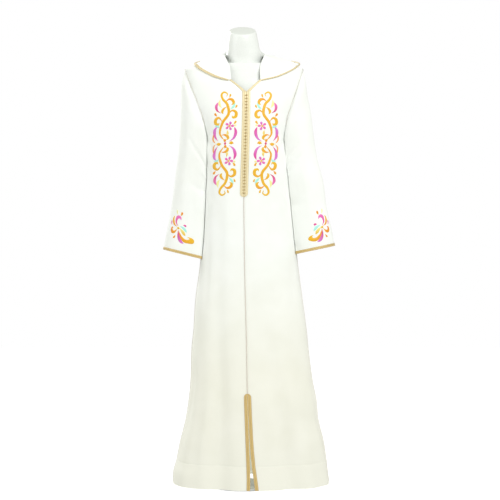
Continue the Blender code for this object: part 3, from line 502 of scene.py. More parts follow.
def smooth(table, column, place):
    """A column of a table at any place down it, on a smooth curve through its rows."""
    places = [row[0] for row in table]
    last = len(table) - 1
    step = min(max(bisect_right(places, place) - 1, 0), last - 1)
    span = places[step + 1] - places[step]
    part = (place - places[step]) / span
    start, end = getattr(table[step], column), getattr(table[step + 1], column)
    slopes = []
    for row in (step, step + 1):
        before, after = max(row - 1, 0), min(row + 1, last)
        rise = getattr(table[after], column) - getattr(table[before], column)
        slopes.append(span * rise / (places[after] - places[before]))
    square = part * part
    cube = square * part
    return (start * (2 * cube - 3 * square + 1) + slopes[0] * (cube - 2 * square + part)
            + end * (3 * square - 2 * cube) + slopes[1] * (cube - square))


def straight(table, column, place):
    """A column of a table at any place down it, on straight lines between its rows."""
    places = [row[0] for row in table]
    step = min(max(bisect_right(places, place) - 1, 0), len(table) - 2)
    part = min(max((place - places[step]) / (places[step + 1] - places[step]), 0.0), 1.0)
    first = getattr(table[step], column)
    return first + part * (getattr(table[step + 1], column) - first)


def smooth_curve(points, part):
    """A point on a smooth curve through a few points, from part 0 to part 1."""
    last = len(points) - 1
    step = min(int(part * last), last - 1)
    local = part * last - step
    start, end = points[step], points[step + 1]
    slope_in = (end - points[max(step - 1, 0)]) / 2
    slope_out = (points[min(step + 2, last)] - start) / 2
    square = local * local
    cube = square * local
    return (start * (2 * cube - 3 * square + 1) + slope_in * (cube - 2 * square + local)
            + end * (3 * square - 2 * cube) + slope_out * (cube - square))


def level(height):
    """The robe's reach to every side at a height, measured once for each height."""
    key = round(height, 6)
    if key not in levels_read:
        centre, right, left, front, back, squareness = (
            smooth(ROBE, column, height)
            for column in ("centre", "right", "left", "front", "back", "squareness"))
        levels_read[key] = Level(centre, right + centre, left - centre, front, back, squareness)
    return levels_read[key]


print("waist:", [round(value, 3) for value in level(1.04)])

# %% Folds, creases and the surface itself
def fold_depth(angle, height):
    total = 0.0
    for fold in FOLDS:
        if height < fold.start:
            run = (fold.start - height) / (fold.start - HEM)
            middle = math.radians(fold.top_angle + (fold.hem_angle - fold.top_angle) * run)
            away = math.remainder(angle - middle, math.tau) / math.radians(fold.width)
            total += fold.depth * run ** FOLD_GROWTH * math.exp(-away * away)
    return total


def crease_depth(creases, girth, angle, height):
    """Each crease is deepest in its middle and dies away towards its ends and sides."""
    total = 0.0
    for crease in creases:
        rise = crease.to_height - crease.height
        across = math.remainder(angle - math.radians(crease.angle), math.tau) * girth
        run = math.radians(crease.to_angle - crease.angle) * girth
        length = math.hypot(run, rise)
        part = (across * run + (height - crease.height) * rise) / length ** 2
        if 0.0 < part < 1.0:
            away = (across * rise - (height - crease.height) * run) / length / crease.width
            if abs(away) < CREASE_LIMIT:
                shape = math.sin(math.pi * part) ** CREASE_ROUNDING
                total += crease.depth * shape * math.exp(-away * away)
    return total


def robe_point(angle, height):
    """The outside of the robe. Angle 0 is the centre front and a right angle the left side."""
    across, along = math.sin(angle), math.cos(angle)
    here = level(height)
    side, reach = (LEFT, here.left) if across >= 0 else (RIGHT, here.right)
    depth = here.front if along > 0 else here.back
    x = here.centre + side * reach * abs(across) ** (2 / here.power)
    y = -math.copysign(depth * abs(along) ** (2 / here.power), along)
    out = fold_depth(angle, height) + crease_depth(CREASES, GIRTH, angle, height)
    return Vector((x + out * across, y - out * along, height))


def robe_normal(angle, height):
    turn, rise = 0.012, 0.0015
    round_it = robe_point(angle + turn, height) - robe_point(angle - turn, height)
    up_it = robe_point(angle, height + rise) - robe_point(angle, height - rise)
    return round_it.cross(up_it).normalized()


def outside(point):
    """About how far a point lies outside the robe, folds apart, and which way is out."""
    def share(spot):
        here = level(min(max(spot.z, HEM), ROBE[-1].height))
        offset = spot.x - here.centre
        width = here.left if offset >= 0 else here.right
        depth = here.front if spot.y < 0 else here.back
        return ((abs(offset) / width) ** here.power
                + (abs(spot.y) / depth) ** here.power) ** (1 / here.power)

    step = 0.5 * MM
    slope = Vector([
        (share(point + step * axis) - share(point - step * axis)) / (2 * step)
        for axis in (Vector((1, 0, 0)), Vector((0, 1, 0)), Vector((0, 0, 1)))
    ])
    steepness = max(slope.length, 1.0)
    return (share(point) - 1.0) / steepness, slope / steepness


CLEARING_STEPS = 8


def clear_of_robe(point, clearance):
    """Moves a point that lies closer to the robe than the clearance straight out of it."""
    for _ in range(CLEARING_STEPS):
        distance, out = outside(point)
        if distance >= clearance:
            break
        point = point + out * (clearance - distance)
    return point


print("centre front at the chest:", tuple(round(v, 3) for v in robe_point(0.0, 1.2)))

# %% [markdown]
# ## From a grid of points to a piece of cloth
# Every cloth piece starts as a grid of points on its outside. The same grid moved in by the
# cloth's thickness is its inside, and narrow rims join the two. Its UV map is in metres along the
# threads, so the weave keeps its scale.

# %% Cloth from a grid
def grid_normals(grid, closed):
    """A normal at each point of a grid, from its neighbours."""
    rows, columns = len(grid), len(grid[0])
    normals = []
    for row in range(rows):
        above, below = grid[max(row - 1, 0)], grid[min(row + 1, rows - 1)]
        line = []
        for column in range(columns):
            if closed:
                before, after = (column - 1) % columns, (column + 1) % columns
            else:
                before, after = max(column - 1, 0), min(column + 1, columns - 1)
            across = grid[row][after] - grid[row][before]
            line.append(across.cross(below[column] - above[column]).normalized())
        normals.append(line)
    return normals


def facing(grid, closed, outwards):
    """Normals of a grid, all turned the way that outwards says is out at its first point."""
    normals = grid_normals(grid, closed)
    row, column, way = outwards
    if normals[row][column].dot(way) < 0:
        normals = [[-normal for normal in line] for line in normals]
    return normals


def pushed(grid, normals, push_at):
    """A grid whose points are moved along their normals, as far as push_at(row, column) says."""
    return [[point + normal * push_at(row, column)
             for column, (point, normal) in enumerate(zip(line, pointing))]
            for row, (line, pointing) in enumerate(zip(grid, normals))]


def finish_mesh(name, points, faces, material, layout=None, sharp=40.0):
    """Makes a closed, outward-facing, smooth-shaded object, with UVs in metres where given."""
    mesh = bpy.data.meshes.new(name)
    mesh.from_pydata([tuple(point) for point in points], [], faces)
    if layout:
        uv = mesh.uv_layers.new(name="threads")
        for loop in mesh.loops:
            uv.data[loop.index].uv = layout[loop.vertex_index]
    work = bmesh.new()
    work.from_mesh(mesh)
    bmesh.ops.recalc_face_normals(work, faces=work.faces)
    work.to_mesh(mesh)
    work.free()
    mesh.shade_smooth()
    mesh.set_sharp_from_angle(angle=math.radians(sharp))
    piece = bpy.data.objects.new(name, mesh)
    bpy.context.scene.collection.objects.link(piece)
    mesh.materials.append(material)
    return piece


def cloth(name, outer, normals, closed):
    """A piece of crepe through a grid of points on its outside."""
    rows, columns = len(outer), len(outer[0])
    points = [point for line in outer for point in line]
    points += [point - normal * CLOTH
               for line, pointing in zip(outer, normals) for point, normal in zip(line, pointing)]
    inner = rows * columns
    middle = columns // 2
    drops = [0.0]
    for above, below in zip(outer, outer[1:]):
        drops.append(drops[-1] + (below[middle] - above[middle]).length)
    layout = []
    for line, drop in zip(outer, drops):
        across = 0.0
        for column, point in enumerate(line):
            across += (point - line[max(column - 1, 0)]).length
            layout.append((across, drop))
    layout += layout

    def at(row, column, side=0):
        return side + row * columns + column % columns

    faces = []
    last_column = columns if closed else columns - 1
    for row in range(rows - 1):
        for column in range(last_column):
            quad = (at(row, column), at(row, column + 1),
                    at(row + 1, column + 1), at(row + 1, column))
            faces.append(quad)
            faces.append(tuple(inner + corner for corner in reversed(quad)))
        if not closed:
            for column in (0, columns - 1):
                faces.append((at(row, column), at(row + 1, column),
                              at(row + 1, column, inner), at(row, column, inner)))
    for column in range(last_column):
        for row in (0, rows - 1):
            faces.append((at(row, column), at(row, column + 1),
                          at(row, column + 1, inner), at(row, column, inner)))
    return finish_mesh(name, points, faces, crepe, layout)


def cloth_area(piece):
    """The area of one face of a cloth piece, in square metres."""
    return sum(face.area for face in piece.data.polygons) / 2


def put_on(piece, slot, *nodes):
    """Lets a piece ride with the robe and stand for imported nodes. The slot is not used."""
    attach(piece, "root")
    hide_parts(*nodes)
    return piece


print("cloth is", CLOTH / MM, "mm thick")

# %% [markdown]
# ## Front and back panels
# The two fronts meet at the centre seam. They part in a V at the neck and in a slit at the hem.
# The armhole is cut into their sides and into the back. Rows lie closer together where the shape
# turns quickly, at the shoulder and at the underarm. Along each seam the cloth dips by half a
# millimetre and puckers a little, because the thread draws it in.

# %% Cutting the panels
UNDERARM_ROWS = 8
UNDERARM_TOP = 1.245
ROWS = (    # from one height to another in so many rows
    (HEM, 0.026, 5), (0.026, 0.088, 11), (0.088, 0.100, 8), (0.100, SLIT_TOP, 42),
    (SLIT_TOP, CLOSURE_END, 104), (CLOSURE_END, UNDERARM, 34), (UNDERARM_TOP, NECK_BOTTOM, 20),
    (NECK_BOTTOM, NECK_CORNER, 14), (NECK_CORNER, SHOULDER_TIP, 12),
    (SHOULDER_TIP, SHOULDER_KNEE, 14), (SHOULDER_KNEE, NECK_POINT, 10),
)
EDGE_STEPS = (0.0, 1.2 * MM, 3.0 * MM, 5.5 * MM)    # columns closest to a seam
FRONT_COLUMNS = 44
BACK_COLUMNS = 104
LENGTH_STEPS = 12              # chords that measure a row's length
ARMHOLE_CUT = math.radians(31.0)
ARMHOLE_LEAN = 0.75            # below 1, the cut is deepest in the armhole's lower half
ARMHOLE_ROUND = 0.60


def panel_heights():
    heights = [HEM]
    for start, end, count in ROWS:
        if start == UNDERARM_TOP:
            heights += [UNDERARM + (UNDERARM_TOP - UNDERARM) * ((step + 1) / UNDERARM_ROWS) ** 2
                        for step in range(UNDERARM_ROWS)]
        heights += [start + (end - start) * (step + 1) / count for step in range(count)]
    return heights


def armhole_cut(height):
    """How far the armhole cuts into the front and back at a height, as an angle."""
    if height <= UNDERARM or height >= SHOULDER_TIP:
        return 0.0
    part = (height - UNDERARM) / (SHOULDER_TIP - UNDERARM)
    return ARMHOLE_CUT * math.sin(math.pi * part ** ARMHOLE_LEAN) ** ARMHOLE_ROUND


def seam_turn(height):
    """Half of a seam's space at the robe's side, as an angle."""
    here = level(height)
    return math.asin((SEAM / 2 / here.front) ** (here.power / 2))


def angle_across(side, offset, height):
    """The angle at which the front lies an offset to one side of its opening."""
    here = level(height)
    across = side * offset + straight(SLIT, "swing", height)
    reach = here.left if across >= 0 else here.right
    turn = math.asin(min(abs(across) / reach, 1.0) ** (here.power / 2))
    return math.copysign(turn, across)


def inner_edge(height):
    """Distance of a front panel's inner edge from the centre: slit, seam or neck opening."""
    return straight(NECK, "half_width", height) + straight(SLIT, "half_gape", height) + SEAM / 2


def columns_between(first, last, height, count):
    """Angles of a row's points: evenly spread, with a few close to each edge."""
    corners = [robe_point(first + (last - first) * step / LENGTH_STEPS, height)
               for step in range(LENGTH_STEPS + 1)]
    length = sum((b - a).length for a, b in zip(corners, corners[1:]))
    edge = [step / length for step in EDGE_STEPS]
    inner = count - 2 * len(edge)
    span = 1.0 - 2 * edge[-1]
    even = [edge[-1] + span * (step + 1) / (inner + 1) for step in range(inner)]
    parts = edge + even + [1.0 - part for part in reversed(edge)]
    return [first + (last - first) * part for part in parts], length


def front_row(side, height):
    first = angle_across(side, inner_edge(height), height)
    last = side * (math.pi / 2 - armhole_cut(height) - seam_turn(height))
    return columns_between(first, last, height, FRONT_COLUMNS)


def back_row(height):
    first = math.pi / 2 + armhole_cut(height) + seam_turn(height)
    return columns_between(first, math.tau - first, height, BACK_COLUMNS)


def back_dip(angle, height):
    """The back neckline is cut lower than the neck points."""
    rise = max(height - SHOULDER_KNEE, 0.0) / (NECK_POINT - SHOULDER_KNEE)
    return BACK_NECK_DIP * rise * math.cos(angle) ** 2


print("rows in a panel:", len(panel_heights()))

# %% Dips and puckers along the seams
SEAM_DIP = 0.5 * MM
SEAM_DIP_REACH = 2.2 * MM
PUCKER = 0.35 * MM
PUCKER_REACH = 8 * MM
PUCKER_PITCH = 17 * MM
PUCKER_DRIFT = 1.3             # how far, in radians, the puckers wander out of step
PUCKER_WANDER = 0.045          # over about this length
HEM_GROOVE = 0.5 * MM
HEM_GROOVE_REACH = 2.0 * MM
HEM_PUCKER = 0.25 * MM
HEM_PUCKER_REACH = 14 * MM


def seam_draw(distance, run, phase):
    """How far a seam draws the cloth in, at a distance from it and a run along it."""
    drift = PUCKER_DRIFT * math.sin(run / PUCKER_WANDER)
    wave = 0.5 + 0.5 * math.sin(math.tau * run / PUCKER_PITCH + phase + drift)
    return (SEAM_DIP * math.exp(-(distance / SEAM_DIP_REACH) ** 2)
            + PUCKER * wave * math.exp(-(distance / PUCKER_REACH) ** 2))


def hem_draw(angle, height):
    """The hem's stitching pulls a shallow groove round the skirt, with small puckers under it."""
    away = (height - HEM_TOP) / HEM_GROOVE_REACH
    below = (HEM_TOP - height) / HEM_PUCKER_REACH
    wave = math.sin(angle * 31) + 0.6 * math.sin(angle * 47 + 1.0)    # 31 and 47 round the hem
    pucker = HEM_PUCKER * wave * math.exp(-below * below) if below > 0 else 0.0
    return HEM_GROOVE * math.exp(-away * away) + pucker


def panel(name, rows, outwards):
    """A panel of the robe from the angles and heights of its points."""
    grid = [[robe_point(angle, height) - Vector((0, 0, dip)) for angle, height, dip in line]
            for line, _ in rows]

    def drawn_in(row, column):
        line, length = rows[row]
        angle, height, _ = line[column]
        part = column / (len(line) - 1)
        near = min(column, len(line) - 1 - column)
        edge = EDGE_STEPS[near] if near < len(EDGE_STEPS) else min(part, 1 - part) * length
        return -seam_draw(edge, height, 2.0 * (part > 0.5)) - hem_draw(angle, height)

    grid = pushed(grid, facing(grid, False, outwards), drawn_in)
    return cloth(name, grid, facing(grid, False, outwards), False)


def make_front(side, word):
    rows = []
    for height in panel_heights():
        angles, length = front_row(side, height)
        rows.append(([(angle, height, 0.0) for angle in angles], length))
    front = panel("front_panel_" + word, rows, (10, 10, Vector((0, -1, 0))))
    return put_on(front, "ivory_crepe", "front_" + word)


def make_back():
    rows = []
    for height in panel_heights():
        angles, length = back_row(height)
        rows.append(([(angle, height, back_dip(angle, height)) for angle in angles], length))
    back = panel("back_panel", rows, (10, BACK_COLUMNS // 2, Vector((0, 1, 0))))
    return put_on(back, "ivory_crepe", "back")


fronts = {side: make_front(side, word) for side, word in SIDES}
back = make_back()
for piece in (*fronts.values(), back):
    print(piece.name, "has", round(cloth_area(piece), 3), "square metres of cloth")

# %% [markdown]
# ## Sleeves
# A sleeve is one piece of cloth sewn into a tube. Its top follows the armhole, and it widens
# towards a slanted cuff. Each section is an oval between the sleeve's outer and inner edges, and
# the sections slide down the arm. The cloth breaks into soft drag lines at the bend of the elbow.

# %% The sleeves' measurements
Cuff = namedtuple("Cuff", "place outer outer_height inner inner_height half_depth middle")
SLEEVE = {
    RIGHT: (
        Cuff(0, 0.2055, 1.463, 0.1400, 1.225, 0.079, 0.002),
        Cuff(1, 0.2180, 1.425, 0.1410, 1.205, 0.078, 0.004),
        Cuff(2, 0.2215, 1.370, 0.1410, 1.178, 0.077, 0.008),
        Cuff(3, 0.2235, 1.305, 0.1390, 1.140, 0.075, 0.012),
        Cuff(4, 0.2265, 1.230, 0.1380, 1.095, 0.073, 0.016),
        Cuff(5, 0.2345, 1.150, 0.1380, 1.040, 0.070, 0.020),
        Cuff(6, 0.2460, 1.065, 0.1390, 0.980, 0.068, 0.023),
        Cuff(7, 0.2560, 0.985, 0.1400, 0.918, 0.066, 0.025),
        Cuff(8, 0.2710, 0.905, 0.1420, 0.852, 0.067, 0.026),
        Cuff(9, 0.2850, 0.831, 0.1450, 0.791, 0.068, 0.026),
    ),
    LEFT: (
        Cuff(0, 0.2060, 1.463, 0.1500, 1.225, 0.079, 0.002),
        Cuff(1, 0.2165, 1.425, 0.1520, 1.205, 0.076, 0.004),
        Cuff(2, 0.2240, 1.370, 0.1530, 1.180, 0.073, 0.008),
        Cuff(3, 0.2370, 1.305, 0.1530, 1.143, 0.070, 0.012),
        Cuff(4, 0.2460, 1.230, 0.1540, 1.100, 0.067, 0.016),
        Cuff(5, 0.2590, 1.150, 0.1570, 1.046, 0.065, 0.020),
        Cuff(6, 0.2810, 1.065, 0.1620, 0.987, 0.064, 0.023),
        Cuff(7, 0.2910, 0.985, 0.1680, 0.925, 0.064, 0.025),
        Cuff(8, 0.3080, 0.910, 0.1760, 0.866, 0.066, 0.026),
        Cuff(9, 0.3205, 0.844, 0.1830, 0.810, 0.068, 0.026),
    ),
}
PLACE_LENGTH = 0.075    # of a sleeve from one row of the table to the next
SLEEVE_GIRTH = 0.070    # turns an angle round the sleeve into a length
SLEEVE_SIDES = 88
SLEEVE_ROWS = 128
SLEEVE_CLEARANCE = 1.6 * MM
SLEEVE_SETTLES = 2.0     # places down the arm until the section no longer follows the armhole
SLEEVE_SPACING = 5 * MM  # about, from one column to the next
INNER_REACH = 0.024      # the inner half would hang this far into the robe, so it lies against it
INNER_FULLNESS = 3.1     # the inner half's oval is squarer than an ellipse, whose power is 2

# Angle 0 is a sleeve's outer edge, 90 its front and 180 its inner edge. Heights are places.
SLEEVE_CREASES = {
    RIGHT: (
        Crease(172, 4.4, 62, 3.5, -0.0034, 0.013),
        Crease(168, 5.0, 80, 5.7, -0.0028, 0.013),
        Crease(160, 4.7, 96, 4.5, 0.0024, 0.012),
        Crease(112, 1.2, 98, 8.2, -0.0026, 0.017),
        Crease(58, 2.2, 66, 8.0, 0.0022, 0.016),
        Crease(150, 7.3, 118, 8.9, -0.0026, 0.014),
        Crease(88, 0.4, 62, 2.0, -0.0022, 0.013),
        Crease(190, 4.5, 292, 3.7, -0.0034, 0.014),
        Crease(200, 5.3, 280, 6.1, -0.0028, 0.013),
        Crease(252, 1.2, 258, 8.0, -0.0026, 0.017),
        Crease(308, 2.0, 300, 7.0, 0.0024, 0.016),
    ),
    LEFT: (
        Crease(170, 5.1, 70, 4.1, -0.0032, 0.014),
        Crease(166, 4.3, 84, 3.3, -0.0026, 0.012),
        Crease(158, 5.6, 92, 6.6, -0.0030, 0.013),
        Crease(108, 1.6, 92, 8.4, -0.0024, 0.016),
        Crease(54, 1.5, 60, 7.4, 0.0022, 0.018),
        Crease(152, 7.8, 110, 8.9, -0.0028, 0.013),
        Crease(84, 0.5, 56, 2.3, -0.0022, 0.013),
        Crease(192, 4.9, 296, 4.2, -0.0032, 0.014),
        Crease(198, 3.9, 272, 3.0, -0.0026, 0.013),
        Crease(248, 1.8, 252, 8.3, -0.0026, 0.016),
        Crease(312, 1.4, 304, 6.6, 0.0024, 0.016),
    ),
}
print("sleeves widen to", round(SLEEVE[LEFT][-1].half_depth * 2, 3), "m from front to back")

# %% Making the sleeves
SLEEVE_CREASES_IN_METRES = {
    side: [crease._replace(height=crease.height * PLACE_LENGTH,
                           to_height=crease.to_height * PLACE_LENGTH) for crease in creases]
    for side, creases in SLEEVE_CREASES.items()
}


def armhole_loop(side):
    """Even points round the armhole, from the shoulder tip down the front and up the back."""
    fine = [height for height in panel_heights() if UNDERARM <= height <= SHOULDER_TIP]
    halves = []
    for face in (1, -1):
        path = []
        for height in fine[::-1] if face == 1 else fine:
            away = max(armhole_cut(height) - seam_turn(height), 0.0)
            path.append(robe_point(side * (math.pi / 2 - face * away), height))
        halves.append(even_points(path, SLEEVE_SIDES // 2)[:-1])
    return halves[0] + halves[1]


def even_points(path, count):
    """Points at even distances along a path, its two ends included."""
    run = [0.0]
    for first, second in zip(path, path[1:]):
        run.append(run[-1] + (second - first).length)
    points = []
    for step in range(count + 1):
        wanted = run[-1] * step / count
        number = min(bisect_right(run, wanted) - 1, len(path) - 2)
        stretch = max(run[number + 1] - run[number], 1e-9)
        points.append(path[number].lerp(path[number + 1], (wanted - run[number]) / stretch))
    return points


def sleeve_point(side, place, turn):
    """A point of the sleeve's oval section at a place down it, pushed in or out by its creases."""
    outer_x, outer_z, inner_x, inner_z, depth, middle = (
        smooth(SLEEVE[side], column, place)
        for column in ("outer", "outer_height", "inner", "inner_height", "half_depth", "middle"))
    outer = Vector((side * outer_x, middle, outer_z))
    inner = Vector((side * (inner_x - INNER_REACH), middle, inner_z))
    half = (outer - inner) / 2
    across, along = math.cos(turn), math.sin(turn)
    way = half.normalized() * across - Vector((0, along, 0))
    if across < 0:
        across = -abs(across) ** (2 / INNER_FULLNESS)
        along = math.copysign(abs(along) ** (2 / INNER_FULLNESS), along)
    out = crease_depth(SLEEVE_CREASES_IN_METRES[side], SLEEVE_GIRTH, turn, place * PLACE_LENGTH)
    return (outer + inner) / 2 + half * across - Vector((0, depth * along, 0)) + way * out


def sleeve_grid(side):
    loop = armhole_loop(side)
    turns = [math.tau * step / SLEEVE_SIDES for step in range(SLEEVE_SIDES)]
    start = [sleeve_point(side, 0.0, turn) for turn in turns]
    last = SLEEVE[side][-1].place
    grid = []
    for row in range(SLEEVE_ROWS + 1):
        place = last * row / SLEEVE_ROWS
        fade = max(1.0 - place / SLEEVE_SETTLES, 0.0) ** 2
        line = []
        for number, turn in enumerate(turns):
            point = sleeve_point(side, place, turn) + (loop[number] - start[number]) * fade
            if row == 0:
                point = point + Vector((side * SEAM, 0, 0))
            else:
                point = clear_of_robe(point, SLEEVE_CLEARANCE * min(place, 1.0) + 2 * SEAM)
            line.append(point)
        grid.append(line)
    return grid


def make_sleeve(side, word):
    def drawn_in(row, column):
        distance = row / SLEEVE_ROWS * SLEEVE[side][-1].place * PLACE_LENGTH
        return -seam_draw(distance, column * SLEEVE_SPACING, 1.0)

    grid = sleeve_grid(side)
    outwards = (SLEEVE_ROWS, 0, Vector((side, 0, 0)))
    grid = pushed(grid, facing(grid, True, outwards), drawn_in)
    normals = facing(grid, True, outwards)
    sleeve = cloth("sleeve_tube_" + word, grid, normals, True)
    return put_on(sleeve, "ivory_crepe", "sleeve_" + word), grid, normals


sleeves = {side: make_sleeve(side, word) for side, word in SIDES}
for sleeve, grid, normals in sleeves.values():
    print(sleeve.name, "has", round(cloth_area(sleeve), 3), "square metres of cloth")

# %% [markdown]
# ## Hood
# The hood lies back, spread over both shoulders. Each section runs from the neck seam, over the
# roll behind the neck, down to the fold at the bottom of the bag and up to the free edge. In
# front its two flaps narrow and end at the corners of the neck. What shows is the hood's inside.

# %% The hood's measurements
Station = namedtuple("Station", "along neck roll fold edge room")
HOOD = (
    Station(0.00, (0.000, 0.063, 1.501), (0.000, 0.080, 1.546), (0.000, 0.140, 1.165),
            (0.000, 0.160, 1.470), 0.045),
    Station(0.17, (0.045, 0.052, 1.504), (0.052, 0.073, 1.538), (0.062, 0.136, 1.225),
            (0.082, 0.144, 1.484), 0.042),
    Station(0.36, (0.067, 0.018, 1.511), (0.075, 0.042, 1.522), (0.130, 0.118, 1.350),
            (0.144, 0.088, 1.502), 0.026),
    Station(0.53, (0.068, 0.003, 1.512), (0.087, 0.016, 1.515), (0.150, 0.078, 1.445),
            (0.172, 0.046, 1.497), 0.010),
    Station(0.70, (0.067, -0.012, 1.510), (0.107, -0.008, 1.508), (0.150, -0.002, 1.496),
            (0.187, -0.002, 1.482), 0.0),
    Station(0.84, (0.0605, -0.045, 1.487), (0.095, -0.048, 1.478), (0.130, -0.052, 1.468),
            (0.165, -0.055, 1.458), 0.0),
    Station(0.93, (0.0515, -0.072, 1.4555), (0.071, -0.077, 1.446), (0.090, -0.082, 1.437),
            (0.110, -0.087, 1.4275), 0.0),
    Station(1.00, (0.0505, -0.094, 1.4165), (0.053, -0.095, 1.415), (0.055, -0.096, 1.4135),
            (0.058, -0.0965, 1.412), 0.0),
)
HOOD_STATIONS = 144
HOOD_COLUMNS = 92
FINE_STEPS = 240                 # along a hood section, to measure it
HOOD_REACH = {RIGHT: 0.94, LEFT: 1.05}    # it spreads a little further to the left
HOOD_CLEARANCE = 4.6 * MM
HOOD_RISE = 30 * MM              # the hood lifts to that clearance this far from its neck seam
HOOD_SPAN = 0.55                 # along the hood's edge, from its middle to its end
HOOD_FALL = 0.55                 # down a section, from the neck seam to the free edge
NORMAL_ROUNDS = 8                # times that the hood's normals are evened out

# Soft wrinkles, each from one place to another: how far along and how far down, then its depth
# and width. They spread from the bag's point and sag between the shoulders.
HOOD_WRINKLES = (
    (-0.03, 0.60, -0.27, 0.94, -0.0044, 0.015), (0.05, 0.60, 0.22, 0.96, -0.0038, 0.014),
    (0.00, 0.62, 0.05, 0.97, 0.0042, 0.018), (-0.20, 0.68, 0.10, 0.76, -0.0040, 0.014),
    (-0.12, 0.88, 0.24, 0.82, 0.0040, 0.015), (-0.36, 0.64, -0.46, 0.93, 0.0028, 0.013),
    (0.34, 0.66, 0.46, 0.92, -0.0028, 0.013), (-0.45, 0.20, -0.14, 0.36, 0.0026, 0.013),
    (0.42, 0.22, 0.12, 0.38, -0.0026, 0.013), (-0.18, 0.30, 0.14, 0.34, -0.0030, 0.014),
    (-0.60, 0.30, -0.72, 0.80, 0.0018, 0.010), (0.62, 0.25, 0.70, 0.75, 0.0018, 0.010),
)
HOOD_CREASES = [
    Crease(math.degrees(along * HOOD_SPAN), share * HOOD_FALL,
           math.degrees(to_along * HOOD_SPAN), to_share * HOOD_FALL, depth, width)
    for along, share, to_along, to_share, depth, width in HOOD_WRINKLES]

# %% Making the hood
def hood_line(side, station):
    """The hood's section at a station, from the neck seam to the free edge. The layer that falls
    to the fold and the layer that comes back up keep some room between them."""
    neck, roll, fold, edge = (Vector(point) for point in
                              (station.neck, station.roll, station.fold, station.edge))
    room = Vector((0, station.room / 2, 0))
    line = [
        neck,
        roll,
        roll.lerp(fold, 0.35),
        roll.lerp(fold, 0.80) - room,
        fold,
        fold.lerp(edge, 0.22) + room,
        fold.lerp(edge, 0.62) + room * 0.7,
        edge,
    ]
    for number, point in enumerate(line):
        share = number / (len(line) - 1)
        point.x *= side * (1 + (HOOD_REACH[side] - 1) * share)
        point.x += smooth(ROBE, "centre", point.z) * (1 - share)
    return line


def hood_clearance(point, neck):
    at_neck = CAD_WALL + 2 * SEAM
    return at_neck + (HOOD_CLEARANCE - at_neck) * min((point - neck).length / HOOD_RISE, 1.0)


def hood_grid():
    Spot = namedtuple("Spot", "along x y z")
    lines = {side: [hood_line(side, station) for station in HOOD] for side in (RIGHT, LEFT)}
    grid = []
    for step in range(-HOOD_STATIONS // 2, HOOD_STATIONS // 2 + 1):
        side = LEFT if step >= 0 else RIGHT
        along = abs(step) / (HOOD_STATIONS / 2)
        knots = []
        for column in range(len(lines[side][0])):
            track = [Spot(row.along, *line[column]) for row, line in zip(HOOD, lines[side])]
            mirrored = track[1]._replace(along=-track[1].along, x=-track[1].x)
            track = [mirrored] + track
            knots.append(Vector([smooth(track, axis, along) for axis in "xyz"]))
        path = [smooth_curve(knots, part / FINE_STEPS) for part in range(FINE_STEPS + 1)]
        line = even_points(path, HOOD_COLUMNS)
        grid.append([clear_of_robe(point, hood_clearance(point, line[0])) for point in line])
    return grid


def softened(normals, times):
    """Normals averaged with their neighbours down each section, so that a wall stays whole."""
    for _ in range(times):
        soft = []
        for line in normals:
            padded = [line[0]] + line + [line[-1]]
            soft.append([(before + 2 * here + after).normalized()
                         for before, here, after in zip(padded, padded[1:], padded[2:])])
        normals = soft
    return normals


def make_hood():
    def creased(row, column):
        along = 2 * row / HOOD_STATIONS - 1
        fall = column / HOOD_COLUMNS * HOOD_FALL
        return crease_depth(HOOD_CREASES, 1.0, along * HOOD_SPAN, fall)

    grid = hood_grid()
    outwards = (HOOD_STATIONS // 2, HOOD_COLUMNS - 1, Vector((0, -1, 0)))
    grid = pushed(grid, softened(facing(grid, False, outwards), NORMAL_ROUNDS), creased)
    normals = softened(facing(grid, False, outwards), NORMAL_ROUNDS)
    hood = cloth("hood_bag", grid, normals, False)
    return put_on(hood, "ivory_crepe", "hood"), grid, normals


hood, hood_points, hood_normals = make_hood()
print("the hood has", round(cloth_area(hood), 3), "square metres of cloth")

# %% [markdown]
# ## Dress form
# A smooth white torso fills the shoulders and carries the robe. Its neck ends in a cap that tilts
# back. Neither has arms, a head or legs.

# %% Torso and neck
Bust = namedtuple("Bust", "height half_width front back")
TORSO = (
    Bust(0.800, 0.122, 0.090, 0.100),
    Bust(0.860, 0.126, 0.092, 0.102),
    Bust(0.930, 0.122, 0.092, 0.094),
    Bust(1.000, 0.108, 0.088, 0.082),
    Bust(1.060, 0.102, 0.088, 0.078),
    Bust(1.120, 0.110, 0.098, 0.082),
    Bust(1.190, 0.122, 0.112, 0.086),
    Bust(1.250, 0.128, 0.110, 0.090),
    Bust(1.320, 0.146, 0.102, 0.096),
    Bust(1.380, 0.166, 0.094, 0.096),
    Bust(1.420, 0.178, 0.086, 0.090),
    Bust(1.450, 0.180, 0.074, 0.080),
)
SHOULDER_REST = (1.468, 1.474, 1.480)    # the form follows the cloth from inside here
FORM_CLEARANCE = 0.9 * MM                # where the cloth rests on the form's shoulders
FORM_SIDES = 96
TORSO_RINGS = 90
NECK_RINGS = 44
# across and middle place the centre of each of the neck's rings
Throat = namedtuple("Throat", "height half_width half_depth across middle tilt")
THROAT = (
    Throat(1.4860, 0.0640, 0.0580, 0.0010, 0.0000, 0.10),
    Throat(1.5080, 0.0643, 0.0566, 0.0008, -0.0020, 0.15),
    Throat(1.5240, 0.0606, 0.0558, -0.0005, -0.0045, 0.17),
    Throat(1.5400, 0.0568, 0.0550, -0.0026, -0.0070, 0.20),
    Throat(1.5720, 0.0520, 0.0530, -0.0042, -0.0120, 0.30),
    Throat(1.5940, 0.0474, 0.0490, -0.0050, -0.0160, 0.42),
    Throat(1.5970, 0.0450, 0.0465, -0.0052, -0.0165, 0.44),
)
CAP_INSETS = (0.55, 0.2)    # the flat cap's inner rings, as shares of its width
CAP_SLOPE = 0.8             # faces that look up more than this belong to the cap and take its grey paint with painted shade


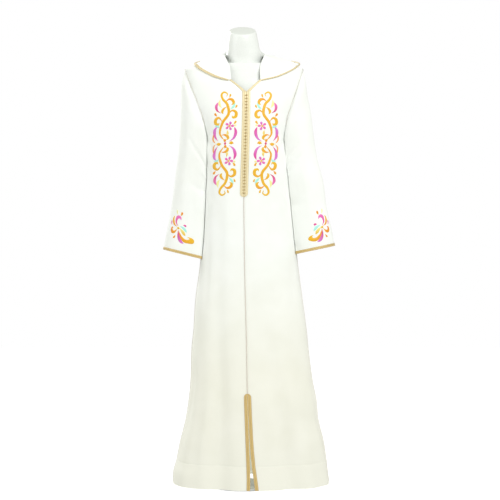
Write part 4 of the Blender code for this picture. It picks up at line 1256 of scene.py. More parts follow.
def oval(half_width, front, back, centre, height):
    ring = []
    for step in range(FORM_SIDES):
        turn = math.tau * step / FORM_SIDES
        across, along = math.sin(turn), math.cos(turn)
        depth = front if along > 0 else back
        ring.append(Vector((centre + half_width * across, -depth * along, height)))
    return ring


def throat_ring(place):
    """The neck's ring at a place down its table, tilted as the neck leans."""
    width, depth, across, middle, tilt = (
        smooth(THROAT, column, place)
        for column in ("half_width", "half_depth", "across", "middle", "tilt"))
    return [Vector((point.x, point.y + middle, place + point.y * tilt))
            for point in oval(width, depth, depth, across, 0.0)]


def lofted(name, rings, material):
    """A closed body through rings, capped at both ends."""
    sides = len(rings[0])
    points = [point for ring in rings for point in ring]
    faces = [tuple(range(sides)), tuple(len(points) - 1 - step for step in range(sides))]
    for start in range(0, len(points) - sides, sides):
        above = start + sides
        for step in range(sides):
            ahead = (step + 1) % sides
            faces.append((start + step, start + ahead, above + ahead, above + step))
    return finish_mesh(name, points, faces, material)


def make_torso():
    low, high = TORSO[0].height, TORSO[-1].height
    rings = []
    for step in range(TORSO_RINGS + 1):
        height = low + (high - low) * step / TORSO_RINGS
        width, front, back = (smooth(TORSO, column, height)
                              for column in ("half_width", "front", "back"))
        rings.append(oval(width, front, back, 0.0, height))
    inset = CAD_WALL + FORM_CLEARANCE
    for height in SHOULDER_REST:
        rings.append([robe_point(angle, height) - robe_normal(angle, height) * inset
                      for angle in (math.tau * step / FORM_SIDES for step in range(FORM_SIDES))])
    collar = throat_ring(THROAT[0].height)
    rings.append([point - Vector((0, 0, SEAM)) for point in collar])
    return put_on(lofted("bust", rings, lacquer), "white_form", "form_torso")


def make_neck():
    low, high = THROAT[0].height, THROAT[-1].height
    rings = [throat_ring(low + (high - low) * step / NECK_RINGS) for step in range(NECK_RINGS + 1)]
    rim = rings[-1]
    middle = sum(rim, Vector()) / len(rim)
    rings += [[middle.lerp(point, share) for point in rim] for share in CAP_INSETS]
    throat = put_on(lofted("throat", rings, lacquer), "white_form", "form_neck")
    throat.data.materials.append(cap_paint_and_shade)
    for face in throat.data.polygons:
        face.material_index = 1 if face.normal.z > CAP_SLOPE else 0
    return throat


make_torso()
print("the form stands", round(make_neck().bound_box[6][2], 3), "m tall")

# %% [markdown]
# ## Braid
# The flat braid, called sfifa, is plaited from gold thread and sewn along the edges. Its threads
# cross in small chevrons between two twisted edge threads. Each braid is a strip whose rows are
# close enough together to raise every thread, so that it keeps its depth from any side.

# %% The plait and its strip
BRAID_ACROSS = 14             # columns across a braid
BRAID_PITCH = 4.0 * MM        # from one chevron to the next
BRAID_STEP = BRAID_PITCH / 8
BRAID_BASE = 0.6 * MM
BRAID_DOME = 0.3 * MM
BRAID_THREAD = 0.5 * MM       # the depth of the plait's own relief
BRAID_SLANT = 1.15
EDGE_TWIST = 0.18             # share of a braid's half width taken by its edge thread


def plait(across, run):
    """The plait's height, 0 to 1, at a share across the braid and a run along it."""
    off = abs(2 * across - 1)
    if off > 1 - EDGE_TWIST:
        part = (off - 1 + EDGE_TWIST) / EDGE_TWIST
        twist = 0.6 + 0.4 * abs(math.sin(math.tau * run / BRAID_PITCH))
        return twist * math.sin(math.pi * part) ** 0.5
    chevron = abs(math.sin(math.pi * (run / BRAID_PITCH + BRAID_SLANT * off))) ** 0.6
    return chevron * (1.0 - 0.8 * math.exp(-(off / 0.1) ** 2))


def ringed(name, rings, relief, material, closed):
    """A closed body through rings of points that keeps the relief as an attribute."""
    count, sides = len(rings), len(rings[0])
    faces = []
    for row in range(count if closed else count - 1):
        ahead = (row + 1) % count
        for step in range(sides):
            beside = (step + 1) % sides
            faces.append((row * sides + step, row * sides + beside,
                          ahead * sides + beside, ahead * sides + step))
    if not closed:
        end = count * sides
        faces += [tuple(range(sides)), tuple(range(end - 1, end - sides - 1, -1))]
    points = [point for ring in rings for point in ring]
    piece = finish_mesh(name, points, faces, material, sharp=60)
    held = piece.data.attributes.new("relief", "FLOAT", "POINT")
    held.data.foreach_set("value", relief)
    return piece


def braid(name, rows, material, closed=False):
    """A braid over rows of places, each a point and its normal on what carries the braid."""
    last = len(rows[0]) - 1
    rings, relief, run = [], [], 0.0
    for number, row in enumerate(rows):
        if number:
            run += (row[last // 2][0] - rows[number - 1][last // 2][0]).length
        ring = []
        for column, (point, normal) in enumerate(row):
            across = column / last
            height = plait(across, run)
            dome = 1 - abs(2 * across - 1) ** 4
            ring.append(point + normal * (BRAID_BASE + BRAID_DOME * dome + BRAID_THREAD * height))
            relief.append(height)
        rings.append(ring + [row[-1][0], row[0][0]])
        relief += [0.0, 0.0]
    return ringed(name, rings, relief, material, closed)


print("a braid is", round((BRAID_BASE + BRAID_DOME + BRAID_THREAD) / MM, 2), "mm thick at most")

# %% Braids on the fronts
NECK_BRAID_END = 1.4160       # it runs in under the front end of the hood
NECK_BRAID_WIDTH = 9.5 * MM   # measured level, so it looks narrower where it slants


def front_places(side, height, width):
    """Places across a braid that lies along a front panel's inner edge."""
    inner = inner_edge(height)
    angles = [angle_across(side, inner + width * column / BRAID_ACROSS, height)
              for column in range(BRAID_ACROSS + 1)]
    first, last = robe_normal(angles[0], height), robe_normal(angles[-1], height)
    row = []
    for column, angle in enumerate(angles):
        normal = first.lerp(last, column / BRAID_ACROSS).normalized()
        row.append((robe_point(angle, height) + normal * SEAM, normal))
    return row


def front_rows(side, start, end, width_at):
    """Rows of a braid up a front, as wide at each height as width_at says."""
    count = round((end - start) / BRAID_STEP)
    heights = [start + (end - start) * step / count for step in range(count + 1)]
    return [front_places(side, height, width_at(height)) for height in heights]


def rounded(away, width):
    """A braid's width where its end, this far away, is a quarter round."""
    if away >= width:
        return width
    return width * math.sin(math.acos(1 - max(away, 0.2 * MM) / width))


def neck_width(height):
    """The neck braid leaves the closure at full width and is folded narrower up the V."""
    part = min((height - NECK_BOTTOM) / (NECK_BEND - NECK_BOTTOM), 1.0)
    return BRAID_WIDTH + (NECK_BRAID_WIDTH - BRAID_WIDTH) * part ** 0.5


FRONT_BRAIDS = (
    ("closure_braid_", CLOSURE_END, NECK_BOTTOM - SEAM, pale_gold,
     lambda height: rounded(height - CLOSURE_END, BRAID_WIDTH)),
    ("neck_braid_", NECK_BOTTOM + SEAM, NECK_BRAID_END, pale_gold, neck_width),
    ("slit_braid_", HEM + SEAM, SLIT_TOP, gold,
     lambda height: rounded(SLIT_TOP - height, SLIT_BRAID_WIDTH)),
)
for side, word in SIDES:
    for name, start, end, thread, width_at in FRONT_BRAIDS:
        strip = braid(name + word + "_plait", front_rows(side, start, end, width_at), thread)
        put_on(strip, "gold_braid", name + word)
        print(strip.name, "is", round(end - start, 3), "m long")

# %% Braids round the cuffs
def on_grid(grid, normals, row, column):
    """A point and its normal at any place on a closed grid of cloth."""
    low = min(max(int(row), 0), len(grid) - 2)
    part = row - low
    sides = len(grid[0])
    first = int(math.floor(column)) % sides
    second = (first + 1) % sides
    share = column - math.floor(column)
    point, normal = (
        table[low][first].lerp(table[low][second], share).lerp(
            table[low + 1][first].lerp(table[low + 1][second], share), part)
        for table in (grid, normals))
    return point, normal.normalized()


def cuff_rows(grid, normals):
    """Rows of places round a sleeve's cuff, each from its edge up to the braid's width."""
    edge = len(grid) - 1
    rim = grid[edge]
    girth = sum((rim[column] - rim[column - 1]).length for column in range(SLEEVE_SIDES))
    count = round(girth / BRAID_PITCH) * round(BRAID_PITCH / BRAID_STEP)
    rows = []
    for step in range(count):
        column = step / count * SLEEVE_SIDES
        above, _ = on_grid(grid, normals, edge - 3, column)
        bottom, _ = on_grid(grid, normals, edge, column)
        reach = 3 * EDGE_BRAID_WIDTH / (bottom - above).length
        row = []
        for across in range(BRAID_ACROSS + 1):
            point, normal = on_grid(grid, normals, edge - reach * across / BRAID_ACROSS, column)
            row.append((point + normal * SEAM, normal))
        rows.append(row)
    return rows


for side, word in SIDES:
    _, grid, normals = sleeves[side]
    rows = cuff_rows(grid, normals)
    strip = braid("cuff_braid_" + word + "_plait", rows, gold, True)
    put_on(strip, "gold_braid", "cuff_braid_" + word)
    print(strip.name, "has", len(rows), "rows")

# %% [markdown]
# ## The hood's edge
# The braid is folded over the hood's free edge and sewn through, so it shows on both faces. On
# the left side the fold lies mostly underneath, and only a narrow line of it shows.

# %% Braid folded over the hood's edge
EdgeWidth = namedtuple("EdgeWidth", "along width")    # -1 and 1 are the front ends, right and left
EDGE_WIDTHS = (
    EdgeWidth(-1.0, 5.0 * MM), EdgeWidth(-0.92, 7.0 * MM), EdgeWidth(-0.6, 8.0 * MM),
    EdgeWidth(0.55, 8.0 * MM), EdgeWidth(0.66, 6.5 * MM), EdgeWidth(0.74, 3.6 * MM),
    EdgeWidth(1.0, 3.6 * MM),
)
EDGE_SHARE = 0.6       # of the hood's narrow front ends, at most
EDGE_ACROSS = 8        # columns across its upper face
EDGE_WRAP = (40, 90, 140)    # degrees round the fold
EDGE_PLAIT = 0.8       # the upper face shows this share of the plait's width
WRAP_PAINTED_SHADE = 0.55     # painted shade on the braid round the fold, and then underneath, given as a relief to its colour ramp
UNDER_PAINTED_SHADE = 0.5


def hood_place(step):
    """The hood's section at any place along it, as points and normals."""
    low = min(int(step), HOOD_STATIONS - 1)
    part = step - low
    return [[first.lerp(second, part) for first, second in zip(table[low], table[low + 1])]
            for table in (hood_points, hood_normals)]


def edge_place(line, normals, away):
    """The point and normal this far in from a section's free end."""
    back = away / (line[-1] - line[-2]).length
    first = max(int(HOOD_COLUMNS - back), 0)
    part = HOOD_COLUMNS - back - first
    second = min(first + 1, HOOD_COLUMNS)
    return line[first].lerp(line[second], part), normals[first].lerp(normals[second], part)


def edge_section(step, run):
    """One ring of the folded braid, and the height of its threads."""
    line, normals = hood_place(step)
    along = 2 * step / HOOD_STATIONS - 1
    length = sum((b - a).length for a, b in zip(line, line[1:]))
    width = min(straight(EDGE_WIDTHS, "width", along), EDGE_SHARE * length)
    edge, normal = line[-1], normals[-1].normalized()
    inner, inner_normal = edge_place(line, normals, width)
    out = (edge - line[-3]).normalized()
    ring, relief = [], []
    for column in range(EDGE_ACROSS + 1):
        share = column / EDGE_ACROSS
        point, pointing = edge_place(line, normals, width * (1 - share))
        height = plait(share * EDGE_PLAIT, run)
        ring.append(point + pointing * (SEAM + 0.6 * BRAID_BASE + BRAID_THREAD * height))
        relief.append(height)
    for degrees in EDGE_WRAP:
        turn = math.radians(degrees)
        reach = CLOTH / 2 + SEAM + BRAID_BASE
        ring.append(edge - normal * CLOTH / 2
                    + (normal * math.cos(turn) + out * math.sin(turn)) * reach)
        relief.append(WRAP_PAINTED_SHADE)
    under = CLOTH + SEAM
    # Underneath, the braid's base and inner edges take the deepest painted shade of its ramp.
    ring += [edge - normal * (under + BRAID_BASE), inner - inner_normal * (under + BRAID_BASE),
             inner - inner_normal * under, edge + out * SEAM - normal * under,
             edge + out * SEAM + normal * SEAM, inner + inner_normal * SEAM]
    return ring, relief + [UNDER_PAINTED_SHADE, UNDER_PAINTED_SHADE, 0.0, 0.0, 0.0, 0.0]


def make_hood_braid():
    rings, relief, run = [], [], 0.0
    ends = [line[-1] for line in hood_points]
    for number in range(HOOD_STATIONS):
        length = (ends[number + 1] - ends[number]).length
        count = max(round(length / BRAID_STEP), 1)
        for part in range(count + (number == HOOD_STATIONS - 1)):
            ring, heights = edge_section(number + part / count, run + length * part / count)
            rings.append(ring)
            relief += heights
        run += length
    piece = ringed("hood_edge_plait", rings, relief, edge_gold, False)
    print("the braid round the hood is", round(run, 2), "m long")
    return put_on(piece, "gold_braid", "hood_braid")


make_hood_braid()

# %% [markdown]
# ## Corded seams
# A fine two-ply cord is couched over the centre front, the sides and the armholes. Two strands
# twist round each other, which shows as small slanting waves.

# %% Twisted cords
CORD_PITCH = 7.0 * MM
CORD_STEP = CORD_PITCH / 8
CORD_SIDES = 10
STRAND_DEPTH = 0.26        # of the cord's radius, between its two strands
CORD_TURN = 0.030          # the armhole cord lies this far inside the seam, as an angle
ARMHOLE_CORD_LOW = 1.24
SIDE_CORD_TOP = 1.205
CORD_NEAR_TIP = 0.010      # the armhole cord rises over the shoulder tip from this far below


def twisted_cord(name, route, material):
    """A two-ply cord along a route of points and normals."""
    path = [point for point, _ in route]
    length = sum((b - a).length for a, b in zip(path, path[1:]))
    count = round(length / CORD_STEP)
    middles = even_points(path, count)
    outs = [route[round(step / count * (len(route) - 1))][1] for step in range(count + 1)]
    rings, relief = [], []
    for step, middle in enumerate(middles):
        ahead = middles[min(step + 1, count)] - middles[max(step - 1, 0)]
        beside = ahead.cross(outs[step]).normalized()
        out = beside.cross(ahead).normalized()
        twist = math.pi * step * CORD_STEP / CORD_PITCH * 2
        ring = []
        for side in range(CORD_SIDES):
            turn = math.tau * side / CORD_SIDES
            strand = abs(math.cos(turn - twist))
            radius = CORD_RADIUS * (1 - STRAND_DEPTH + STRAND_DEPTH * strand ** 0.8)
            ring.append(middle + (out * math.cos(turn) + beside * math.sin(turn)) * radius)
            # Painted shade: the dip between the two strands takes the dark end of the thread's ramp.
            relief.append(strand)
        rings.append(ring)
    print(name, "is", round(length, 2), "m long")
    return ringed(name, rings, relief, material, False)


def centre_place(height, lift):
    """A point over the centre front seam, and the way out of it."""
    spots = [angle_across(side, SEAM / 2, height) for side in (RIGHT, LEFT)]
    normal = (robe_normal(spots[0], height) + robe_normal(spots[1], height)).normalized()
    point = (robe_point(spots[0], height) + robe_point(spots[1], height)) / 2
    return point + normal * lift, normal


def even_heights(low, high, step=4 * MM):
    count = round((high - low) / step)
    return [low + (high - low) * number / count for number in range(count + 1)]


def armhole_route(side):
    """Up the front of the armhole, over the shoulder tip and down the back."""
    lift = SEAM + CORD_RADIUS
    heights = even_heights(ARMHOLE_CORD_LOW, SHOULDER_TIP - 0.2 * CORD_NEAR_TIP)
    route = []
    for face in (1, -1):
        for height in heights if face == 1 else reversed(heights):
            angle = side * (math.pi / 2 - face * (armhole_cut(height) + CORD_TURN))
            near = min(max((height - SHOULDER_TIP) / CORD_NEAR_TIP + 2.0, 0.0), 1.0)
            normal = robe_normal(angle, height)
            route.append((robe_point(angle, height) + normal * (lift + 2 * SEAM * near), normal))
        if face == 1:
            tip = robe_point(side * math.pi / 2, SHOULDER_TIP + 2 * SEAM)
            up = Vector((0, 0, 1))
            route.append((tip + up * (lift + 3 * SEAM), up))
    return route


lift = SEAM + CORD_RADIUS
route = [centre_place(height, lift)
         for height in even_heights(SLIT_TOP + 2 * SEAM, CLOSURE_END - 2 * SEAM)]
put_on(twisted_cord("centre_seam_cord", route, beige), "beige_cord", "centre_cord")
for side, word in SIDES:
    away = Vector((side, 0, 0))
    route = [(robe_point(side * math.pi / 2, height) + away * lift, away)
             for height in even_heights(HEM + 2 * CORD_RADIUS, SIDE_CORD_TOP)]
    put_on(twisted_cord("side_seam_cord_" + word, route, ivory), "beige_cord", "side_cord_" + word)
    route = armhole_route(side)
    put_on(twisted_cord("armhole_seam_cord_" + word, route, ivory),
           "beige_cord", "armhole_cord_" + word)

# %% [markdown]
# ## Knotted buttons
# Small balls knotted from gold thread, called aakad, stand in a row where the closure's two braids
# meet. Each has a little loop of thread on both sides. One knot is shaped from a sphere whose
# alternate points are raised, which gives the over and under of the knot, and is then copied.

# %% One knot, and its copies down the closure
KNOT_RADIUS = 2.3 * MM
KNOT_COUNT = 32
KNOT_RISE = 0.55 * MM
KNOT_CORE = KNOT_RADIUS - KNOT_RISE / 2
KNOT_AROUND = 12          # points round the ball, and rows of them down it
KNOT_DOWN = 8
KNOTS_START = 8.1 * MM    # from either end of the closure
LOOP_RADIUS = 1.5 * MM
LOOP_THREAD = 0.4 * MM


def deselect_all():
    if bpy.context.object and bpy.context.object.mode != "OBJECT":
        bpy.ops.object.mode_set(mode="OBJECT")
    bpy.ops.object.select_all(action="DESELECT")


def make_knot():
    deselect_all()
    bpy.ops.mesh.primitive_uv_sphere_add(
        segments=KNOT_AROUND, ring_count=KNOT_DOWN, radius=KNOT_CORE)
    ball = bpy.context.object
    bpy.ops.object.mode_set(mode="EDIT")
    bpy.ops.mesh.select_all(action="DESELECT")
    bpy.ops.object.mode_set(mode="OBJECT")
    for point in ball.data.vertices:
        around = round((math.atan2(point.co.y, point.co.x) / math.tau) * KNOT_AROUND)
        slope = math.acos(min(max(point.co.z / KNOT_CORE, -1), 1))
        down = round(slope / math.pi * KNOT_DOWN)
        point.select = (around + down) % 2 == 0 and 0 < down < KNOT_DOWN
    bpy.ops.object.mode_set(mode="EDIT")
    bpy.ops.transform.shrink_fatten(value=KNOT_RISE)
    bpy.ops.object.mode_set(mode="OBJECT")
    rounding = ball.modifiers.new("rounding", "SUBSURF")
    rounding.levels = rounding.render_levels = 1
    bpy.ops.object.modifier_apply(modifier="rounding")
    parts = [ball]
    for side in (RIGHT, LEFT):
        bpy.ops.mesh.primitive_torus_add(
            location=(side * (KNOT_RADIUS + LOOP_RADIUS * 0.8), 0, -KNOT_RADIUS + LOOP_THREAD),
            major_radius=LOOP_RADIUS, minor_radius=LOOP_THREAD,
            major_segments=14, minor_segments=6)
        parts.append(bpy.context.object)
    deselect_all()
    for part in parts:
        part.select_set(True)
    bpy.context.view_layer.objects.active = ball
    bpy.ops.object.join()
    bpy.ops.object.shade_smooth()
    # Painted shade and glint: the knot's hollows get the dark end of the braid ramp and its raised
    # threads the light end.
    shown = ball.data.attributes.new("relief", "FLOAT", "POINT")
    for point, held in zip(ball.data.vertices, shown.data):
        proud = (point.co.length - KNOT_RADIUS + KNOT_RISE) / KNOT_RISE
        held.value = min(max(proud, 0.15), 1.0)
    return ball


def knot_at(knot, height):
    """A copy of the knot whose own upward way points out of the robe."""
    lift = 2 * SEAM + BRAID_BASE + BRAID_DOME + KNOT_RADIUS
    place, out = centre_place(height, lift)
    turn = out.to_track_quat("Z", "Y").to_matrix().to_4x4()
    copy = bpy.data.objects.new("knot", knot.data.copy())
    bpy.context.scene.collection.objects.link(copy)
    copy.data.transform(Matrix.Translation(place) @ turn)
    return copy


def make_knots():
    knot = make_knot()
    low, high = CLOSURE_END + KNOTS_START, NECK_BOTTOM - KNOTS_START
    copies = [knot_at(knot, low + (high - low) * (number + 0.5) / KNOT_COUNT)
              for number in range(KNOT_COUNT)]
    bpy.data.objects.remove(knot)
    deselect_all()
    for copy in copies:
        copy.select_set(True)
    bpy.context.view_layer.objects.active = copies[0]
    bpy.ops.object.join()
    row = bpy.context.object
    row.name = "knotted_buttons"
    row.data.materials.append(knot_gold)
    return put_on(row, "gold_braid", "button_row")


knots = make_knots()
print(KNOT_COUNT, "knots,", len(knots.data.polygons), "faces")

# %% [markdown]
# ## Embroidery
# Scrolls, blossoms and plumes are worked in satin stitch beside the closure and on the cuffs. Each
# stroke is a smooth curve with a width that swells and dies away, padded so that it stands a
# little proud. The strokes are drawn flat, in millimetres, and then laid on the cloth.

# %% Threads and strokes
THREADS = {
    "orange": "#E68606", "amber": "#E5A004", "gold": "#E6B814", "lemon": "#EFEC9C",
    "magenta": "#DC3A92", "pink": "#E878C2", "orchid": "#D480D6", "raspberry": "#CE1C54",
    "aqua": "#A6EBE0", "peach": "#F2A868",
}
Stroke = namedtuple("Stroke", "shape width start end points")
PAD = 1.1 * MM             # height of the padding under the widest stitches
FULLNESS = 1.7             # widens every stroke of the designs below
THINNEST = 0.05            # of a stroke's full width, at its tips
STROKE_LIFT = 0.1 * MM     # of its edges above the cloth
STROKE_SHADE = 0.05        # the threads differ in lightness by this share
STROKE_ACROSS = 6
STROKE_STEP = 1.6 * MM
STROKE_FINE = 60           # steps of the smooth curve that is measured out


def swell(shape, part):
    """A stroke's width at a part of its length, as a share of its full width."""
    if shape == "plume":
        return math.sin(math.pi * min(part, 0.999) ** 1.5) ** 0.75
    if shape == "leaf":
        return math.sin(math.pi * part) ** 1.1
    if shape == "drop":
        return (part ** 0.8 * (1 - part ** 5)) ** 0.8 if part < 1 else 0.0
    return math.sin(math.pi * part) ** 0.45    # a stem


def worked_stroke(stroke, spot, turn_over):
    """One stroke as rings of points with their colours and its place along the thread."""
    knots = [Vector((a, b * turn_over, 0)) for a, b in stroke.points]
    fine = [smooth_curve(knots, step / STROKE_FINE) for step in range(STROKE_FINE + 1)]
    length = sum((b - a).length for a, b in zip(fine, fine[1:])) * MM
    count = max(round(length / STROKE_STEP), 6)
    route = even_points(fine, count)
    start, end = (Vector(linear(THREADS[name])[:3]) for name in (stroke.start, stroke.end))
    rings, colours, layout = [], [], []
    for step, middle in enumerate(route):
        ahead = (route[min(step + 1, count)] - route[max(step - 1, 0)]).normalized()
        beside = Vector((-ahead.y, ahead.x, 0))
        share = max(swell(stroke.shape, step / count), THINNEST)
        half = stroke.width * FULLNESS * share / 2
        tone = start.lerp(end, step / count)
        ring = []
        for column in range(STROKE_ACROSS + 1):
            off = 2 * column / STROKE_ACROSS - 1
            place = middle + beside * half * off
            point, normal = spot(place.x, place.y)
            lift = STROKE_LIFT + PAD * share ** 0.5 * (1 - off * off) ** 0.5
            ring.append(point + normal * lift)
            shade = 1.0 + STROKE_SHADE * math.sin(step * 2.3 + column)
            colours.append((*(tone * shade), 1.0))
            layout.append((step * length / count, half * off * MM))
        rings.append(ring)
    return rings, colours, layout


def embroider(name, strokes, spot):
    """All strokes of one field as a single piece of stitching."""
    points, faces, colours, layout = [], [], [], []
    for stroke, turn_over in strokes:
        rings, tones, places = worked_stroke(stroke, spot, turn_over)
        first, sides = len(points), STROKE_ACROSS + 1
        points += [point for ring in rings for point in ring]
        colours += tones
        layout += places
        for row in range(len(rings) - 1):
            for step in range(sides):
                beside = (step + 1) % sides
                low = first + row * sides
                faces.append((low + step, low + beside, low + sides + beside, low + sides + step))
        faces.append(tuple(range(first, first + sides)))
        faces.append(tuple(range(len(points) - 1, len(points) - 1 - sides, -1)))
    piece = finish_mesh(name, points, faces, stitching, layout, sharp=75)
    held = piece.data.color_attributes.new("thread", "FLOAT_COLOR", "POINT")
    held.data.foreach_set("color", [part for colour in colours for part in colour])
    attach(piece, "root")
    return piece


print("strokes can have", len(THREADS), "threads")

# %% The chest's design, as its upper half
# Each point is so many millimetres outwards from the field's middle, and so many up from the
# line where the design is turned over.
CHEST = (
    Stroke("stem", 5.6, "amber", "gold", (
        (4, 12), (19, 36), (10, 72), (-10, 102), (-5, 134), (10, 152), (15, 168), (6, 177),
        (-5, 171), (-2, 161))),
    Stroke("plume", 6.4, "amber", "gold", (
        (10, 72), (22, 88), (33, 84), (35, 71), (26, 65), (22, 72))),
    Stroke("plume", 6.4, "amber", "gold", (
        (-9, 100), (-22, 113), (-35, 107), (-35, 93), (-25, 89), (-22, 96))),
    Stroke("plume", 6.0, "orange", "gold", (
        (2, 142), (-10, 152), (-22, 150), (-27, 139), (-19, 133))),
    Stroke("plume", 6.0, "magenta", "orchid", ((24, 8), (36, 26), (37, 46), (29, 58))),
    Stroke("plume", 6.2, "orchid", "magenta", ((-12, 6), (-29, 18), (-36, 38), (-31, 56))),
    Stroke("plume", 5.6, "raspberry", "pink", ((16, 104), (29, 113), (33, 128), (26, 142))),
    Stroke("leaf", 4.6, "aqua", "aqua", ((-16, 118), (-26, 126), (-33, 140))),
    Stroke("leaf", 5.0, "lemon", "lemon", ((14, 122), (22, 136), (20, 152))),
    Stroke("leaf", 4.4, "lemon", "gold", ((-2, 24), (-8, 34), (-6, 46))),
    Stroke("leaf", 4.0, "aqua", "aqua", ((20, 52), (28, 60), (38, 58))),
    Stroke("drop", 6.4, "gold", "amber", ((-28, 66), (-33, 71), (-36, 78))),
    Stroke("drop", 6.4, "orange", "amber", ((30, 94), (34, 98), (38, 105))),
    Stroke("drop", 5.4, "amber", "gold", ((-12, 158), (-15, 164), (-16, 171))),
    Stroke("stem", 3.0, "peach", "orange", ((34, 2), (42, 14), (41, 32))),
    Stroke("plume", 5.6, "orange", "gold", ((14, 28), (4, 30), (-6, 26), (-10, 18), (-4, 13))),
    Stroke("plume", 5.2, "amber", "gold", ((-4, 126), (6, 120), (12, 110), (8, 101))),
    Stroke("drop", 5.6, "gold", "amber", ((-32, 122), (-36, 126), (-38, 133))),
    Stroke("leaf", 4.4, "lemon", "lemon", ((-30, 64), (-34, 62), (-38, 63))),
)
PETALS = 5
BLOSSOM = (-14, 60)
PETAL = ((3, 0.0), (10, 0.25), (15, 0.0))    # out from the blossom's middle, and its bend
for petal in range(PETALS):
    turn = math.tau * (petal + 0.3) / PETALS
    points = [(BLOSSOM[0] + reach * math.cos(turn + bend),
               BLOSSOM[1] + reach * math.sin(turn + bend)) for reach, bend in PETAL]
    CHEST += (Stroke("drop", 7.6, "magenta", "orchid" if petal % 2 else "pink", points),)
CHEST += (Stroke("leaf", 5.0, "gold", "gold", ((-17, 60), (-14, 60), (-11, 60))),)
MIDDLE = (
    Stroke("leaf", 6.4, "amber", "gold", ((-30, 0), (-22, 2), (-13, 0))),
    Stroke("leaf", 6.4, "amber", "gold", ((13, 0), (22, -2), (31, 0))),
    Stroke("leaf", 5.6, "orange", "amber", ((0, 4), (1, 10), (0, 17))),
    Stroke("leaf", 5.6, "orange", "amber", ((0, -4), (-1, -10), (0, -17))),
    Stroke("leaf", 6.0, "raspberry", "magenta", ((-4, 0), (0, 0), (4, 0))),
)
CHEST_MIDDLE = 0.070       # of the field, out from the centre front
CHEST_HEIGHT = 1.195


def chest_spot(side):
    def spot(a, b):
        height = CHEST_HEIGHT + b * MM
        angle = angle_across(side, CHEST_MIDDLE + a * MM, height)
        return robe_point(angle, height), robe_normal(angle, height)
    return spot


for side, word in SIDES:
    strokes = [(stroke, way) for way in (1, -1) for stroke in CHEST] + [(s, 1) for s in MIDDLE]
    flowers = embroider("chest_embroidery_" + word, strokes, chest_spot(side))
    print(flowers.name, "has", len(flowers.data.polygons), "faces")

# %% The cuffs' bunches
# Here each point is so many millimetres towards the sleeve's outer edge, and so many up.
BUNCH = (
    Stroke("plume", 8.0, "orange", "gold", (
        (2, 2), (-8, -18), (-24, -32), (-40, -30), (-42, -18), (-34, -16))),
    Stroke("plume", 7.4, "raspberry", "orchid", ((3, -2), (-2, -22), (-12, -38), (-24, -44))),
    Stroke("plume", 6.4, "lemon", "gold", ((0, 8), (-14, -2), (-26, -14))),
    Stroke("plume", 5.6, "aqua", "aqua", ((-2, 14), (-18, 10), (-30, 0))),
    Stroke("plume", 7.0, "amber", "orange", ((6, 2), (18, -12), (30, -12), (33, -2), (26, 2))),
    Stroke("plume", 6.4, "magenta", "pink", ((4, 10), (16, 22), (14, 38), (2, 42), (-4, 34))),
    Stroke("plume", 6.0, "orange", "gold", ((8, 8), (24, 14), (32, 28), (28, 40))),
    Stroke("drop", 7.0, "amber", "orange", ((0, 48), (-3, 54), (-5, 62))),
    Stroke("drop", 6.2, "magenta", "magenta", ((-14, 20), (-20, 21), (-26, 20))),
    Stroke("drop", 6.0, "pink", "magenta", ((36, 8), (40, 14), (42, 22))),
    Stroke("drop", 5.4, "lemon", "lemon", ((14, 48), (18, 54), (20, 62))),
    Stroke("drop", 6.0, "orange", "amber", ((12, -22), (14, -29), (20, -34))),
    Stroke("leaf", 5.0, "gold", "gold", ((-2, 3), (4, 5), (9, 3))),
)
Bunch = namedtuple("Bunch", "row column")
BUNCHES = {RIGHT: Bunch(112.0, 15.5), LEFT: Bunch(113.0, 14.0)}


def sleeve_spot(side):
    """Places on a sleeve, measured out from the middle of its bunch."""
    _, grid, normals = sleeves[side]
    bunch = BUNCHES[side]
    row, column = int(bunch.row), int(bunch.column)
    down = (grid[row + 1][column] - grid[row][column]).length
    across = (grid[row][column + 1] - grid[row][column]).length

    def spot(a, b):
        return on_grid(grid, normals, min(bunch.row - b * MM / down, SLEEVE_ROWS - 0.1),
                       bunch.column - a * MM / across)
    return spot


for side, word in SIDES:
    strokes = [(stroke, 1) for stroke in BUNCH]
    flowers = embroider("cuff_embroidery_" + word, strokes, sleeve_spot(side))
    print(flowers.name, "has", len(flowers.data.polygons), "faces")

# %% [markdown]
# Only the tip of the pole and the rim of the base show under the hem. Both keep their turned
# shapes from the frame and get the steel. Under them lies a plain white floor. It is lit mostly
# from within, so that it runs into the white wall behind and only a soft shadow is left on it, and
# it throws none of that light back up at the cloth, which the white room lights already.

# %% The stand's finish and the floor
for node in ("stand_pole", "stand_base"):
    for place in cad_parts[node].material_slots:
        place.material = steel
    print(node, "is now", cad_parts[node].material_slots[0].material.name)

FLOOR_SIZE = 14.0
FLOOR_GLOW = 0.80
ROLLER_GRAIN = 6 * MM


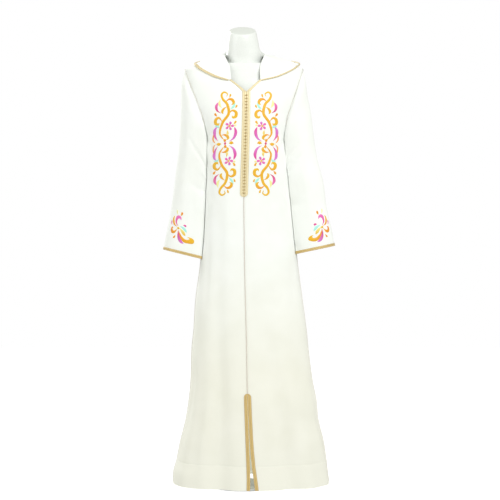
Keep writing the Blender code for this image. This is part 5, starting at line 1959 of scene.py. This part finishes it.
def make_floor():
    deselect_all()
    bpy.ops.mesh.primitive_plane_add(size=FLOOR_SIZE, location=(0, 0, -0.0005))
    floor = bpy.context.object
    floor.name = "studio_floor"
    made, tree, shader = start_material("white studio paint", "#A8A8A8", 0.8)
    place = add_node(tree, "ShaderNodeTexCoord")
    roller = add_node(tree, "ShaderNodeTexNoise", {
        "Vector": place.outputs["Object"], "Scale": 1 / ROLLER_GRAIN})
    bump = add_node(tree, "ShaderNodeBump", {
        "Height": roller.outputs["Fac"], "Strength": 0.1, "Distance": 0.2 * MM})
    tree.links.new(bump.outputs["Normal"], shader.inputs["Normal"])
    shader.inputs["Emission Color"].default_value = linear("#FFFFFF")
    shader.inputs["Emission Strength"].default_value = FLOOR_GLOW
    floor.data.materials.append(made)
    floor.visible_diffuse = False
    return floor


print("the floor is", make_floor().dimensions.x, "metres wide")

# %% [markdown]
# ## What each cloth was cut to
# A tailor lays the robe's pieces flat on the cloth before cutting. Each sheet below is listed
# with the rectangle that its pattern fits in, its own flat area and what is sewn on it, and its
# flat area is printed beside the area of the cloth made here.
# A sleeve is cut as one piece that is as wide as the tube is round.

# %% Listing the sheets
Cut = namedtuple("Cut", "width length area")
FRONT_CUTS = {RIGHT: Cut(0.380, 1.530, 0.370), LEFT: Cut(0.400, 1.530, 0.390)}
BACK_CUT = Cut(0.790, 1.530, 0.765)
SLEEVE_CUTS = {RIGHT: Cut(0.610, 0.650, 0.234), LEFT: Cut(0.610, 0.650, 0.230)}
HOOD_CUT = Cut(0.760, 0.620, 0.226)
sewn_on = {name: bpy.data.objects[name] for name in (
    "knotted_buttons", "centre_seam_cord", "hood_edge_plait")}
for side, word in SIDES:
    for stem in ("closure_braid_%s_plait", "neck_braid_%s_plait", "slit_braid_%s_plait",
                 "chest_embroidery_%s", "side_seam_cord_%s", "armhole_seam_cord_%s",
                 "cuff_braid_%s_plait", "cuff_embroidery_%s"):
        sewn_on[stem % word] = bpy.data.objects[stem % word]


def declare(piece, cut, held, rests_on, *trims):
    print(piece.name, "was cut to", cut.area, "and measures", round(cloth_area(piece), 3))


for side, word in SIDES:
    declare(fronts[side], FRONT_CUTS[side], "hung", ["bust"],
            "closure_braid_" + word + "_plait", "neck_braid_" + word + "_plait",
            "slit_braid_" + word + "_plait", "chest_embroidery_" + word, "side_seam_cord_" + word,
            *(["centre_seam_cord", "knotted_buttons"] if side == RIGHT else []))
    declare(sleeves[side][0], SLEEVE_CUTS[side], "hung", [fronts[side].name, "back_panel"],
            "armhole_seam_cord_" + word, "cuff_braid_" + word + "_plait", "cuff_embroidery_" + word)
declare(back, BACK_CUT, "hung", ["bust"])
declare(hood, HOOD_CUT, "draped", ["back_panel", fronts[RIGHT].name, fronts[LEFT].name],
        "hood_edge_plait")
